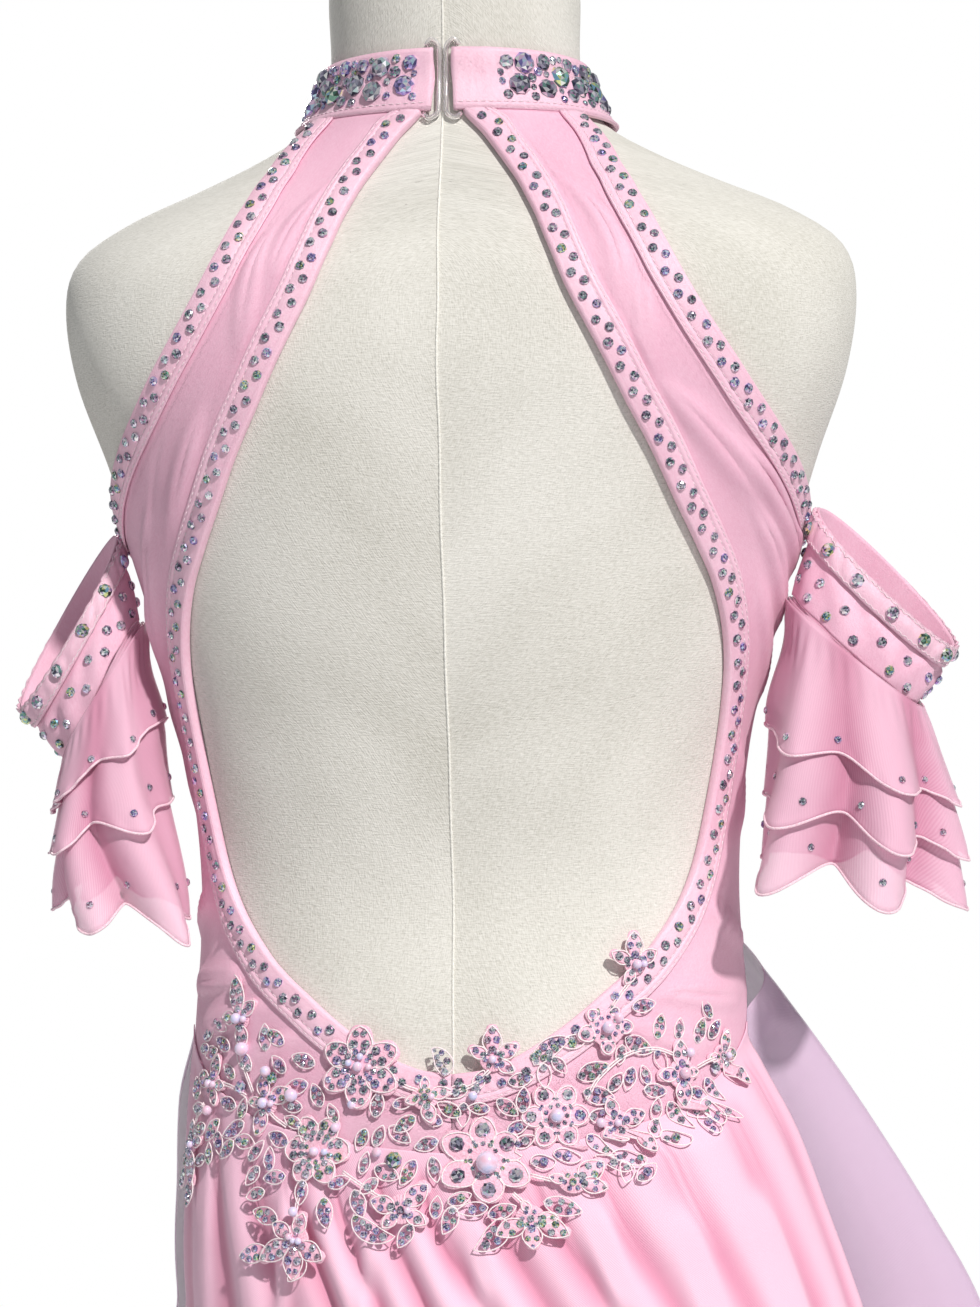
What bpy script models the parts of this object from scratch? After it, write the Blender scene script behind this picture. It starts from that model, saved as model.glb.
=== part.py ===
"""A lyrical dance dress on a limbless dress form.

The dress has a stand collar closed by a clear clasp, halter panels round an open back, bound edges,
two drop sleeves with three flounces each, a skirt of two panels, and lace motifs round the low back.
The form is a torso with a neck on a pole and a round base.

Metres, +Z up. The origin is the middle of the base's underside. The back of the dress faces -Y, so
a viewer behind the dress has +X on the right. Angles run round the body from the centre back (0)
through the right side (90) to the centre front (180), in degrees.
"""

import math
from collections import namedtuple

import bmesh
import bpy
from mathutils import Vector

# Driving sizes

CLOTH_GAP = 0.0020          # between the form and the inside of the dress
BODICE_WALL = 0.0012        # stretch satin
COLLAR_WALL = 0.0018        # satin over elastic
BINDING_WALL = 0.0012
MESH_WALL = 0.0010          # skirt and flounces
MOTIF_WALL = 0.0014
MOTIF_GAP = 0.0006          # between a motif and the cloth under it
MOTIF_RISE = 0.0008         # how far the middle of a motif stands above its rim
LAY_GAP = 0.0005            # between a panel and what is sewn on it
SEAM_GAP = 0.0004           # between two edges that meet at a seam
GATHER_GAP = 0.0009         # the same, where the lower piece is gathered
BINDING_WIDTH = 0.0120
BINDING_OVERHANG = 0.0006   # how far a binding reaches past the panel's edge
UNDERARM_EASE = 0.25        # where the binding turns the corner, as a share of the next step

COLLAR_LOW = 1.3280
COLLAR_HIGH = 1.3570
COLLAR_END_ANGLE = 3.9      # half of the gap at the centre back
SIDE_SEAM_ANGLE = 92.0
SEAM_HALF_ANGLE = 0.10      # half of the seam gap, as an angle at the waist
SKIRT_HEM = 0.260

FORM_BOTTOM = 0.735
FORM_TOP = 1.405
POLE_RADIUS = 0.0125
FLANGE_RADIUS = 0.045
FLANGE_THICKNESS = 0.008
BASE_RADIUS = 0.175
BASE_RIM = 0.010
BASE_HUB_RADIUS = 0.024
BASE_HUB_TOP = 0.048
SEAT_GAP = 0.0003

Section = namedtuple("Section", "height half_width back front power")
FORM_SECTIONS = [
    Section(0.735, 0.108, 0.085, 0.078, 2.2),
    Section(0.762, 0.121, 0.097, 0.087, 2.2),
    Section(0.820, 0.129, 0.106, 0.092, 2.2),
    Section(0.870, 0.127, 0.102, 0.092, 2.2),
    Section(0.930, 0.122, 0.088, 0.090, 2.2),
    Section(0.990, 0.1185, 0.077, 0.089, 2.2),
    Section(1.050, 0.1240, 0.084, 0.097, 2.2),
    Section(1.100, 0.1360, 0.093, 0.113, 2.2),
    Section(1.140, 0.1475, 0.099, 0.120, 2.2),
    Section(1.180, 0.1600, 0.103, 0.108, 2.3),
    Section(1.220, 0.1740, 0.104, 0.092, 2.4),
    Section(1.255, 0.1785, 0.098, 0.080, 2.4),
    Section(1.275, 0.1720, 0.090, 0.072, 2.3),
    Section(1.290, 0.1500, 0.083, 0.066, 2.2),
    Section(1.303, 0.1200, 0.076, 0.063, 2.1),
    Section(1.316, 0.0920, 0.069, 0.061, 2.0),
    Section(1.330, 0.0690, 0.062, 0.060, 2.0),
    Section(1.350, 0.0575, 0.057, 0.058, 2.0),
    Section(1.398, 0.0565, 0.055, 0.057, 2.0),
    Section(1.405, 0.0510, 0.049, 0.051, 2.0),
]

# The halter panel's rows, from the collar down: where each starts on the edge of the open back,
# and where it ends on the armhole edge, the side seam or the waist seam.
PanelRow = namedtuple("PanelRow", "inner_angle inner_height outer_angle outer_height")
PANEL_ROWS = [
    PanelRow(8.2, COLLAR_LOW - SEAM_GAP, 52.0, COLLAR_LOW - SEAM_GAP),
    PanelRow(12.4, 1.3170, 46.0, 1.3160),
    PanelRow(13.0, 1.3030, 35.0, 1.3000),
    PanelRow(12.2, 1.2860, 29.3, 1.2850),
    PanelRow(12.2, 1.2680, 28.2, 1.2680),
    PanelRow(14.0, 1.2480, 31.0, 1.2490),
    PanelRow(18.0, 1.2260, 37.0, 1.2280),
    PanelRow(23.5, 1.2030, 46.0, 1.2070),
    PanelRow(30.0, 1.1820, 57.0, 1.1890),
    PanelRow(37.0, 1.1600, 69.0, 1.1730),
    PanelRow(44.0, 1.1410, 80.0, 1.1600),
    PanelRow(51.0, 1.1230, SIDE_SEAM_ANGLE, 1.1490),
    PanelRow(57.5, 1.1020, SIDE_SEAM_ANGLE, 1.1260),
    PanelRow(62.0, 1.0800, SIDE_SEAM_ANGLE, 1.0990),
    PanelRow(64.0, 1.0560, SIDE_SEAM_ANGLE, 1.0690),
    PanelRow(62.5, 1.0300, SIDE_SEAM_ANGLE, 1.0370),
    PanelRow(58.5, 1.0040, SIDE_SEAM_ANGLE, 1.0070),
    PanelRow(52.0, 0.9840, SIDE_SEAM_ANGLE, 0.9790),
    PanelRow(42.0, 0.9650, SIDE_SEAM_ANGLE, 0.9480),
    PanelRow(36.0, 0.9557, 85.5, 0.9366),
    PanelRow(30.0, 0.9475, 78.0, 0.9235),
    PanelRow(24.9, 0.9400, 69.0, 0.9153),
    PanelRow(20.0, 0.9330, 60.0, 0.9070),
    PanelRow(15.3, 0.9268, 50.5, 0.9000),
    PanelRow(11.0, 0.9215, 41.0, 0.8935),
    PanelRow(7.6, 0.9183, 31.0, 0.8895),
    PanelRow(4.5, 0.9160, 21.0, 0.8860),
    PanelRow(0.2, 0.9145, 0.2, 0.8820),
]
PANEL_COLUMNS = 7
ARMHOLE_ROWS = 12           # the first rows, whose outer ends are on the armhole

Place = namedtuple("Place", "angle height")

# The front's rows above the side seams, from the underarm up to the collar: where each starts on
# the armhole edge, and its height at the centre front.
FrontRow = namedtuple("FrontRow", "edge_angle edge_height middle_height")
FRONT_ROWS = [
    FrontRow(SIDE_SEAM_ANGLE, 1.1490, 1.1260),
    FrontRow(103.0, 1.1530, 1.1370),
    FrontRow(114.0, 1.1640, 1.1510),
    FrontRow(124.0, 1.1820, 1.1690),
    FrontRow(133.0, 1.2060, 1.1920),
    FrontRow(140.0, 1.2330, 1.2200),
    FrontRow(144.5, 1.2600, 1.2500),
    FrontRow(145.0, 1.2840, 1.2780),
    FrontRow(141.0, 1.3020, 1.2990),
    FrontRow(135.0, 1.3160, 1.3140),
    FrontRow(128.0, COLLAR_LOW - SEAM_GAP, COLLAR_LOW - SEAM_GAP),
]
WAIST_SEAM = [
    Place(0.0, 0.8820),
    Place(21.0, 0.8860),
    Place(41.0, 0.8935),
    Place(60.0, 0.9070),
    Place(78.0, 0.9235),
    Place(92.0, 0.9480),
    Place(108.0, 0.9610),
    Place(140.0, 0.9680),
    Place(180.0, 0.9700),
]
FRONT_COLUMNS = 24
FRONT_ROWS_BELOW = 8        # rows between the waist seam and the level of the underarm

# The skirt's plan at each height, for the valleys of its folds. The right side flares more.
SkirtSection = namedtuple("SkirtSection", "height left right_back right_front back front")
SKIRT_SECTIONS = [
    SkirtSection(0.970, 0.115, 0.115, 0.1200, 0.070, 0.085),
    SkirtSection(0.946, 0.118, 0.118, 0.1340, 0.075, 0.091),
    SkirtSection(0.920, 0.121, 0.126, 0.1520, 0.082, 0.093),
    SkirtSection(0.880, 0.125, 0.146, 0.1790, 0.098, 0.097),
    SkirtSection(0.840, 0.128, 0.161, 0.2030, 0.107, 0.103),
    SkirtSection(0.800, 0.131, 0.174, 0.2240, 0.113, 0.112),
    SkirtSection(0.700, 0.147, 0.203, 0.2560, 0.128, 0.133),
    SkirtSection(0.600, 0.166, 0.227, 0.2780, 0.146, 0.155),
    SkirtSection(0.450, 0.197, 0.258, 0.3020, 0.178, 0.190),
    SkirtSection(0.260, 0.238, 0.288, 0.3260, 0.222, 0.232),
]
SKIRT_POWER = 2.2
SKIRT_ROWS = [0.0, 0.045, 0.10, 0.17, 0.26, 0.38, 0.53, 0.70, 0.86, 1.0]
STEPS_PER_FOLD = 4

# Each fold's crest: its angle at the waist seam and at the hem, how deep the gathers are just
# below the seam, and how much more the fold has grown at the hem.
Fold = namedtuple("Fold", "top_angle hem_angle gather swing")
BACK_FOLDS = [
    Fold(-80.0, -83.0, 0.0000, 0.0010),
    Fold(-64.0, -71.0, 0.0020, 0.0150),
    Fold(-49.0, -59.0, 0.0035, 0.0190),
    Fold(-36.0, -47.0, 0.0050, 0.0220),
    Fold(-26.0, -36.0, 0.0058, 0.0250),
    Fold(-17.0, -25.0, 0.0062, 0.0270),
    Fold(-8.5, -15.0, 0.0062, 0.0260),
    Fold(-0.5, -4.0, 0.0060, 0.0280),
    Fold(7.5, 7.0, 0.0058, 0.0260),
    Fold(16.0, 19.0, 0.0048, 0.0250),
    Fold(28.0, 33.0, 0.0030, 0.0220),
    Fold(45.0, 50.0, 0.0016, 0.0200),
    Fold(64.0, 67.0, 0.0010, 0.0170),
    Fold(80.0, 82.0, 0.0004, 0.0120),
]
FRONT_FOLDS = [
    Fold(80.8, 62.0, 0.0000, 0.0000),
    Fold(97.0, 92.0, 0.0012, 0.0140),
    Fold(113.0, 110.0, 0.0024, 0.0190),
    Fold(129.0, 128.0, 0.0036, 0.0230),
    Fold(145.0, 146.0, 0.0042, 0.0250),
    Fold(161.0, 163.0, 0.0046, 0.0240),
    Fold(177.0, 179.0, 0.0048, 0.0260),
    Fold(193.0, 196.0, 0.0046, 0.0240),
    Fold(209.0, 213.0, 0.0042, 0.0250),
    Fold(226.0, 230.0, 0.0034, 0.0220),
    Fold(244.0, 248.0, 0.0022, 0.0180),
    Fold(262.0, 267.0, 0.0010, 0.0130),
    Fold(279.2, 284.0, 0.0000, 0.0000),
]
GATHER_DROP = 0.075         # how far below the seam the gathers reach their depth
TUCK_DEPTH = 0.012          # how far the front panel's right edge lies inside the back panel's
TUCK_DROP = 0.050
TUCK_ANGLE = 93.0
TUCK_TURN = 12.0
LAP_LIFT = 0.0042           # how far the front panel's left edge lies outside the back panel's
SLIP_TURN = 5.0             # how far the front panel's right edge slips under the back panel
SLIP_FROM = 0.020           # and between which drops
SLIP_TO = 0.080

# The collar's clasp: two bent wires of clear plastic
CLASP_WIRE = 0.0011
CLASP_OFFSET = 0.0022       # from the neck to the wire's middle
CLASP_MIDDLE = 0.0014       # from the centre back to each upright
CLASP_REACH = 0.0070        # how far each arm runs over the collar's end
CLASP_CORNER = 0.0020

# The sleeves. Each is a tube from the loop at its top to the loop at its foot. A loop is an oval:
# its middle, half of its long way from the inner end to the outer end, and half of its way across
# from the back to the front.
Sleeve = namedtuple("Sleeve", "side loops")
Loop = namedtuple("Loop", "middle half across")
SLEEVES = [
    Sleeve("left", [
        Loop(Vector((-0.1800, -0.012, 1.1120)), Vector((-0.0232, 0.0, -0.0378)),
             Vector((-0.004, 0.022, 0.010))),
        Loop(Vector((-0.1629, -0.016, 1.0800)), Vector((-0.0155, 0.0, -0.0320)),
             Vector((0.000, 0.027, 0.004))),
    ]),
    Sleeve("right", [
        Loop(Vector((0.1892, -0.012, 1.1250)), Vector((0.0295, 0.0, -0.0310)),
             Vector((0.004, 0.024, 0.005))),
        Loop(Vector((0.1745, -0.016, 1.0930)), Vector((0.0270, 0.0, -0.0250)),
             Vector((0.002, 0.027, 0.002))),
    ]),
]
SLEEVE_SIGN = {"left": -1.0, "right": 1.0}
SLEEVE_WALL = 0.0012
SLEEVE_STEPS = 24
SLEEVE_SHARES = [0.0, 0.34, 0.67, 1.0]     # the tube's rows; the band covers the first two
BAND_WALL = 0.0012
BAND_GAP = 0.0008
FLOUNCE_ROWS = {            # the drop of each row; the flounces end at the last three
    "left": [0.0, 0.022, 0.044, 0.080, 0.132],
    "right": [0.0, 0.028, 0.056, 0.086, 0.114],
}
FLOUNCE_TIERS = 3
FLOUNCE_LIFT = {"left": 0.55, "right": 0.28}    # how much shorter they are at the outer end
FLOUNCE_OUT = {             # how far each starts outside the loop
    "left": [0.0040, 0.0020, 0.0],
    "right": [0.0034, 0.0017, 0.0],
}
FLOUNCE_SPREAD = [0.090, 0.045, 0.0]    # how much more each one flares, for each metre of drop
FLOUNCE_FLARE = {"left": -0.03, "right": 0.03}
FLOUNCE_WAVE = {"left": 0.17, "right": 0.24}
FLOUNCE_DIP = 0.08          # how much longer they are at a wave's crest than at its valley
FLOUNCE_BACK = {"left": 0.016, "right": 0.012}  # how far their back side swings to the back
FLOUNCE_BACK_DROP = 0.070                       # and by which drop
FLOUNCE_IN = {"left": 0.026, "right": 0.012}    # how far it swings towards the body, below the ribs
FLOUNCE_IN_FROM = 0.045
FLOUNCE_IN_TO = 0.130
FLOUNCE_TUCK = 0.0095       # how far their inner side swings in along the body, and between which drops
FLOUNCE_TUCK_FROM = 0.012
FLOUNCE_TUCK_TO = 0.052
FLOUNCE_WAVES = 6
FLOUNCE_STEPS = 30
FLOUNCE_TIGHT_TURN = 160.0  # where the flounces lie against the body and stay close

# Lace motifs: where each middle lies, its core's radius, and its petals or leaves as (direction,
# length, spread). Directions run from the right (0) upwards (90), in degrees; lengths are in
# millimetres. The last column is what it lies on, as the lift that this needs.
Motif = namedtuple("Motif", "name angle height core petals lift")
ON_CLOTH = 0.0
OVER_SEAM = 0.0006
OVER_BINDING = BINDING_WALL + LAY_GAP
MM = 0.001
MOTIF_STEPS = 24


def even_petals(count, length, spread, turn):
    """A flower's petals, all alike."""
    return [(turn + 360.0 * k / count, length, spread) for k in range(count)]


MOTIFS = [
    Motif("flower_left_upper", -16.2, 0.9184, 12.0, even_petals(6, 18.0, 22.0, 30.0), OVER_BINDING),
    Motif("flower_left_lower", -24.5, 0.8848, 10.0, even_petals(6, 15.0, 22.0, 0.0), ON_CLOTH),
    Motif("flower_right_pearl", 4.8, 0.8819, 12.0, even_petals(6, 17.5, 22.0, 30.0), ON_CLOTH),
    Motif("flower_right_upper", 18.0, 0.8981, 10.0, even_petals(6, 14.5, 22.0, 0.0), ON_CLOTH),
    Motif("flower_right_binding", 29.0, 0.9334, 7.5,
          [(0, 12, 20), (60, 10, 18), (135, 11, 20), (195, 13, 20), (270, 12, 20)], OVER_BINDING),
    Motif("leaves_left_low", -27.2, 0.8486, 6.0,
          [(75, 12, 17), (150, 13, 17), (210, 19, 17), (270, 17, 17), (330, 15, 17)], ON_CLOTH),
    Motif("leaf_centre_low", -7.5, 0.8626, 6.0,
          [(45, 15, 20), (165, 14, 20), (225, 11, 20), (330, 12, 20)], ON_CLOTH),
    Motif("leaves_left_middle", -37.8, 0.9018, 5.5,
          [(30, 14, 17), (105, 13, 17), (255, 14, 17), (180, 10, 17)], ON_CLOTH),
    Motif("leaves_left_side", -57.5, 0.9070, 5.5,
          [(75, 14, 17), (165, 13, 17), (0, 10, 17), (300, 10, 17)], ON_CLOTH),
    Motif("leaves_left_hanging", -63.5, 0.8810, 5.0,
          [(90, 11, 17), (240, 13, 17), (285, 19, 17), (15, 11, 17)], ON_CLOTH),
    Motif("leaves_left_binding", -48.0, 0.9363, 5.0,
          [(105, 20, 17), (45, 12, 17), (180, 12, 17), (285, 14, 17)], ON_CLOTH),
    Motif("leaves_centre", -4.0, 0.9065, 5.5,
          [(15, 11, 17), (90, 9, 17), (195, 9, 17), (285, 12, 17)], OVER_BINDING),
    Motif("sprig_centre", 6.5, 0.9215, 5.0,
          [(90, 15, 17), (150, 11, 17), (30, 13, 17), (330, 11, 17)], OVER_BINDING),
    Motif("leaves_right_middle", 30.2, 0.8940, 5.5,
          [(15, 14, 17), (105, 12, 17), (300, 13, 17), (225, 9, 17)], OVER_SEAM),
    Motif("leaf_right_low", 17.5, 0.8731, 5.0,
          [(30, 15, 17), (345, 13, 17), (165, 9, 17)], ON_CLOTH),
    Motif("leaves_right_low", 10.5, 0.8590, 5.0,
          [(0, 10, 17), (210, 14, 17), (270, 13, 17), (330, 15, 17), (105, 8, 17)], ON_CLOTH),
    Motif("sprig_right_binding", 36.5, 0.9590, 4.5,
          [(90, 15, 17), (150, 12, 17), (30, 12, 17), (240, 10, 17)], OVER_BINDING),
    Motif("leaves_right_side", 47.2, 0.9121, 6.5,
          [(90, 15, 20), (180, 12, 20), (270, 15, 20), (0, 9, 20)], OVER_SEAM),
    Motif("leaves_right_end", 61.5, 0.9170, 5.0,
          [(0, 12, 17), (60, 13, 17), (180, 9, 17), (300, 14, 17)], ON_CLOTH),
]


# Curves through the tables


def between(rows, at, key, column):
    """A smooth value of one column of a table, where its key column equals at."""
    keys = [getattr(row, key) for row in rows]
    values = [getattr(row, column) for row in rows]
    if keys[0] > keys[-1]:
        keys, values = keys[::-1], values[::-1]
    at = min(max(at, keys[0]), keys[-1])
    i = 0
    while i < len(keys) - 2 and at > keys[i + 1]:
        i += 1
    width = keys[i + 1] - keys[i]
    t = (at - keys[i]) / width

    def slope(j):
        low, high = max(j - 1, 0), min(j + 1, len(keys) - 1)
        return (values[high] - values[low]) / (keys[high] - keys[low]) * width

    return (
        (2 * t**3 - 3 * t**2 + 1) * values[i]
        + (t**3 - 2 * t**2 + t) * slope(i)
        + (3 * t**2 - 2 * t**3) * values[i + 1]
        + (t**3 - t**2) * slope(i + 1)
    )


def ease(t):
    """0 below 0, 1 above 1, and a smooth rise between."""
    t = min(max(t, 0.0), 1.0)
    return t * t * (3 - 2 * t)


def mix(a, b, t):
    return a + (b - a) * t


def oval_point(angle, height, half_width, depth, power):
    """A point of a superellipse at this height. Angle 0 is at -Y."""
    s, c = math.sin(math.radians(angle)), math.cos(math.radians(angle))
    x = half_width * math.copysign(abs(s) ** (2 / power), s)
    y = -depth * math.copysign(abs(c) ** (2 / power), c)
    return Vector((x, y, height))


# The body's surface


def form_surface(angle, height):
    depth = "back" if math.cos(math.radians(angle)) > 0 else "front"
    return oval_point(
        angle,
        height,
        between(FORM_SECTIONS, height, "height", "half_width"),
        between(FORM_SECTIONS, height, "height", depth),
        between(FORM_SECTIONS, height, "height", "power"),
    )


def surface_slopes(angle, height):
    """How the surface point moves for each degree of angle and each metre of height."""
    turn, rise = 0.05, 0.0008
    low, high = max(height - rise, FORM_BOTTOM), min(height + rise, FORM_TOP)
    across = (form_surface(angle + turn, height) - form_surface(angle - turn, height)) / (2 * turn)
    up = (form_surface(angle, high) - form_surface(angle, low)) / (high - low)
    return across, up


def body_point(angle, height, out):
    """A point this far outside the form."""
    across, up = surface_slopes(angle, height)
    return form_surface(angle, height) + across.cross(up).normalized() * out


def step_on_surface(place, direction, distance):
    """The place reached by going this distance over the form in a 3-D direction."""
    across, up = surface_slopes(place.angle, place.height)
    aa, uu, au = across.dot(across), up.dot(up), across.dot(up)
    da, du = across.dot(direction), up.dot(direction)
    scale = distance / (aa * uu - au * au)
    return Place(place.angle + (da * uu - du * au) * scale, place.height + (du * aa - da * au) * scale)


def waist_height(angle):
    """The waist seam's height at any angle."""
    turned = abs((angle + 180.0) % 360.0 - 180.0)
    for a, b in zip(WAIST_SEAM, WAIST_SEAM[1:]):
        if turned <= b.angle:
            return mix(a.height, b.height, (turned - a.angle) / (b.angle - a.angle))
    return WAIST_SEAM[-1].height


# Building and finishing objects


def material(name, colour, roughness, metallic=0.0, transmission=0.0):
    made = bpy.data.materials.new(name)
    made.use_nodes = True
    shader = made.node_tree.nodes["Principled BSDF"]
    shader.inputs["Base Color"].default_value = (*colour, 1.0)
    shader.inputs["Roughness"].default_value = roughness
    shader.inputs["Metallic"].default_value = metallic
    shader.inputs["Transmission Weight"].default_value = transmission
    return made


def link(name, data, finish, collection):
    obj = bpy.data.objects.new(name, data)
    obj.data.materials.append(finish)
    collection.objects.link(obj)
    return obj


def wall(name, rows, thickness, finish, collection, closed=False, flip=False, offset=1.0):
    """A cloth wall: an open grid of points, thickened outwards, or inwards with an offset of -1.
    Columns run with the angle and rows run upwards; flip is for rows that run downwards."""
    columns = len(rows[0])
    points = [p for row in rows for p in row]
    faces = []
    for i in range(len(rows) - 1):
        for j in range(columns if closed else columns - 1):
            k = (j + 1) % columns
            face = [i * columns + j, i * columns + k, (i + 1) * columns + k, (i + 1) * columns + j]
            faces.append(face[::-1] if flip else face)
    mesh = bpy.data.meshes.new(name)
    mesh.from_pydata(points, [], faces)
    mesh.shade_smooth()
    obj = link(name, mesh, finish, collection)
    solid = obj.modifiers.new("cloth", "SOLIDIFY")
    solid.thickness = thickness
    solid.offset = offset
    return obj


def turned(name, profile, steps, finish, collection):
    """A closed solid turned about Z from a profile of (radius, height), top to bottom at +X."""
    mesh = bpy.data.meshes.new(name)
    points = [(radius, 0.0, height) for radius, height in profile]
    mesh.from_pydata(points, [(i, i + 1) for i in range(len(points) - 1)], [])
    obj = link(name, mesh, finish, collection)
    screw = obj.modifiers.new("turn", "SCREW")
    screw.steps = screw.render_steps = steps
    screw.use_merge_vertices = True
    screw.merge_threshold = 0.00001
    screw.use_smooth_shade = True
    return obj


# The dress form


def torso(finish, collection):
    """The form's body and neck: a loft through rings, with a flat face at each end."""
    steps = 32
    heights = [
        0.735, 0.745, 0.762, 0.795, 0.835, 0.875, 0.915, 0.955, 0.990, 1.025, 1.060, 1.095, 1.130,
        1.165, 1.200, 1.230, 1.255, 1.270, 1.282, 1.293, 1.305, 1.317, 1.330, 1.345, 1.362, 1.398,
        1.405,
    ]
    body = bmesh.new()
    rings = []
    for height in heights:
        ring = [body.verts.new(form_surface(360.0 * k / steps, height)) for k in range(steps)]
        rings.append(ring)
    for low, high in zip(rings, rings[1:]):
        for k in range(steps):
            n = (k + 1) % steps
            body.faces.new([low[k], low[n], high[n], high[k]])
    body.faces.new(rings[0][::-1])
    body.faces.new(rings[-1])
    mesh = bpy.data.meshes.new("dress_form_torso")
    body.to_mesh(mesh)
    body.free()
    mesh.shade_smooth()
    return link("dress_form_torso", mesh, finish, collection)


def stand(finish, collection):
    flange_low = FORM_BOTTOM - SEAT_GAP - FLANGE_THICKNESS
    turned(
        "dress_form_flange",
        [
            (0.0, FORM_BOTTOM - SEAT_GAP),
            (FLANGE_RADIUS, FORM_BOTTOM - SEAT_GAP),
            (FLANGE_RADIUS, flange_low),
            (0.0, flange_low),
        ],
        32, finish, collection,
    )
    turned(
        "dress_form_pole",
        [
            (0.0, flange_low - SEAT_GAP),
            (POLE_RADIUS, flange_low - SEAT_GAP),
            (POLE_RADIUS, BASE_HUB_TOP + SEAT_GAP),
            (0.0, BASE_HUB_TOP + SEAT_GAP),
        ],
        20, finish, collection,
    )
    turned(
        "dress_form_base",
        [
            (0.0, BASE_HUB_TOP),
            (BASE_HUB_RADIUS - 0.003, BASE_HUB_TOP),
            (BASE_HUB_RADIUS, BASE_HUB_TOP - 0.004),
            (BASE_HUB_RADIUS + 0.004, 0.026),
            (BASE_RADIUS * 0.55, 0.019),
            (BASE_RADIUS - 0.006, BASE_RIM + 0.004),
            (BASE_RADIUS, BASE_RIM),
            (BASE_RADIUS, 0.0),
            (0.0, 0.0),
        ],
        32, finish, collection,
    )


# The bodice


def mirrored(rows):
    """The same rows on the left side: each point's x turned round."""
    return [[Vector((-p.x, p.y, p.z)) for p in row] for row in rows]


def surface_rows(rows, out):
    """Rows of places as points this far outside the form."""
    return [[body_point(place.angle, place.height, out) for place in row] for row in rows]


def between_places(a, b, t):
    return Place(mix(a.angle, b.angle, t), mix(a.height, b.height, t))


def inside_binding(edge, i, side):
    """The place on the cloth where a binding along its edge ends: side is 1 where the cloth is on
    the left of the edge's run, seen from outside, and -1 where it is on the right."""
    before, after = edge[max(i - 1, 0)], edge[min(i + 1, len(edge) - 1)]
    run = form_surface(*after) - form_surface(*before)
    across, up = surface_slopes(*edge[i])
    inwards = across.cross(up).cross(run).normalized() * side
    inside = step_on_surface(edge[i], inwards, BINDING_WIDTH)
    return Place(inside.angle, min(inside.height, COLLAR_LOW - SEAM_GAP))


def halter_places():
    """The right halter panel row by row, from the collar down to the centre back seam. Its first
    column is as wide as the binding, and so is the last one along the armhole."""
    opening = [Place(row.inner_angle, row.inner_height) for row in PANEL_ROWS]
    outer = [Place(row.outer_angle, row.outer_height) for row in PANEL_ROWS]
    rows = []
    for i, (start, end) in enumerate(zip(opening, outer)):
        first = inside_binding(opening[:-1], i, 1.0) if i < len(opening) - 1 else None
        if first is None:
            first = Place(start.angle, start.height - BINDING_WIDTH)
        if i < ARMHOLE_ROWS:
            last = inside_binding(outer, i, -1.0)
        else:
            last = between_places(end, first, 1.0 / (PANEL_COLUMNS - 1))
        if end.angle == SIDE_SEAM_ANGLE:
            end = Place(SIDE_SEAM_ANGLE - SEAM_HALF_ANGLE, end.height)
        steps = PANEL_COLUMNS - 2
        middle = [between_places(first, last, k / steps) for k in range(steps + 1)]
        rows.append([start] + middle + [end])
    return rows


def front_places():
    """The front row by row, from the waist seam to the collar. Along the armholes its first and
    last columns are as wide as the binding."""
    first = SIDE_SEAM_ANGLE + SEAM_HALF_ANGLE
    half = FRONT_COLUMNS // 2
    armhole = [Place(row.edge_angle, row.edge_height) for row in FRONT_ROWS]
    halves = []
    for i, row in enumerate(FRONT_ROWS):
        inside = inside_binding(armhole, i, -1.0)
        middle = Place(180.0, row.middle_height)
        places = [Place(max(row.edge_angle, first), row.edge_height)]
        for c in range(half):
            share = c / (half - 1)
            angle = mix(inside.angle, middle.angle, share)
            places.append(Place(angle, mix(inside.height, middle.height, ease(share))))
        halves.append(places)
    seam = [Place(mix(first, 180.0, c / half), 0.0) for c in range(half + 1)]
    seam = [Place(place.angle, waist_height(place.angle)) for place in seam]
    below = [
        [between_places(a, b, r / FRONT_ROWS_BELOW) for a, b in zip(seam, halves[0])]
        for r in range(FRONT_ROWS_BELOW)
    ]
    return [
        places + [Place(360.0 - place.angle, place.height) for place in places[-2::-1]]
        for places in below + halves
    ]


def binding_rows(pairs):
    """Rows across a binding, from pairs of places: on the cloth's edge, and where it ends inside."""
    rows = []
    for edge, inside in pairs:
        outwards = form_surface(*edge) - form_surface(*inside)
        rim = step_on_surface(edge, outwards.normalized(), BINDING_OVERHANG)
        rim = Place(rim.angle, min(rim.height, COLLAR_LOW - SEAM_GAP))
        rows.append([rim, inside])
    return surface_rows(rows, CLOTH_GAP + BODICE_WALL + LAY_GAP)


def bodice(finish, collection):
    back, front = halter_places(), front_places()
    right = surface_rows(back, CLOTH_GAP)
    wall("back_right", right, BODICE_WALL, finish, collection, flip=True)
    wall("back_left", mirrored(right), BODICE_WALL, finish, collection)
    wall("front", surface_rows(front, CLOTH_GAP), BODICE_WALL, finish, collection)
    opening = binding_rows([(row[0], row[1]) for row in back])
    wall("binding_back_right", opening, BINDING_WALL, finish, collection, flip=True)
    wall("binding_back_left", mirrored(opening), BINDING_WALL, finish, collection)
    underarm = Place(FRONT_ROWS[0].edge_angle, FRONT_ROWS[0].edge_height)
    pairs = [(row[-1], row[-2]) for row in back[:ARMHOLE_ROWS]]
    pairs[-1] = (between_places(pairs[-1][0], pairs[-2][0], UNDERARM_EASE), pairs[-1][1])
    pairs.append((underarm, Place(underarm.angle, underarm.height - BINDING_WIDTH)))
    front_pairs = [(row[0], row[1]) for row in front[FRONT_ROWS_BELOW:]]
    front_pairs[0] = (
        between_places(front_pairs[0][0], front_pairs[1][0], UNDERARM_EASE), front_pairs[0][1]
    )
    pairs += front_pairs
    armhole = binding_rows(pairs)
    wall("binding_arm_right", armhole, BINDING_WALL, finish, collection)
    wall("binding_arm_left", mirrored(armhole), BINDING_WALL, finish, collection, flip=True)


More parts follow.
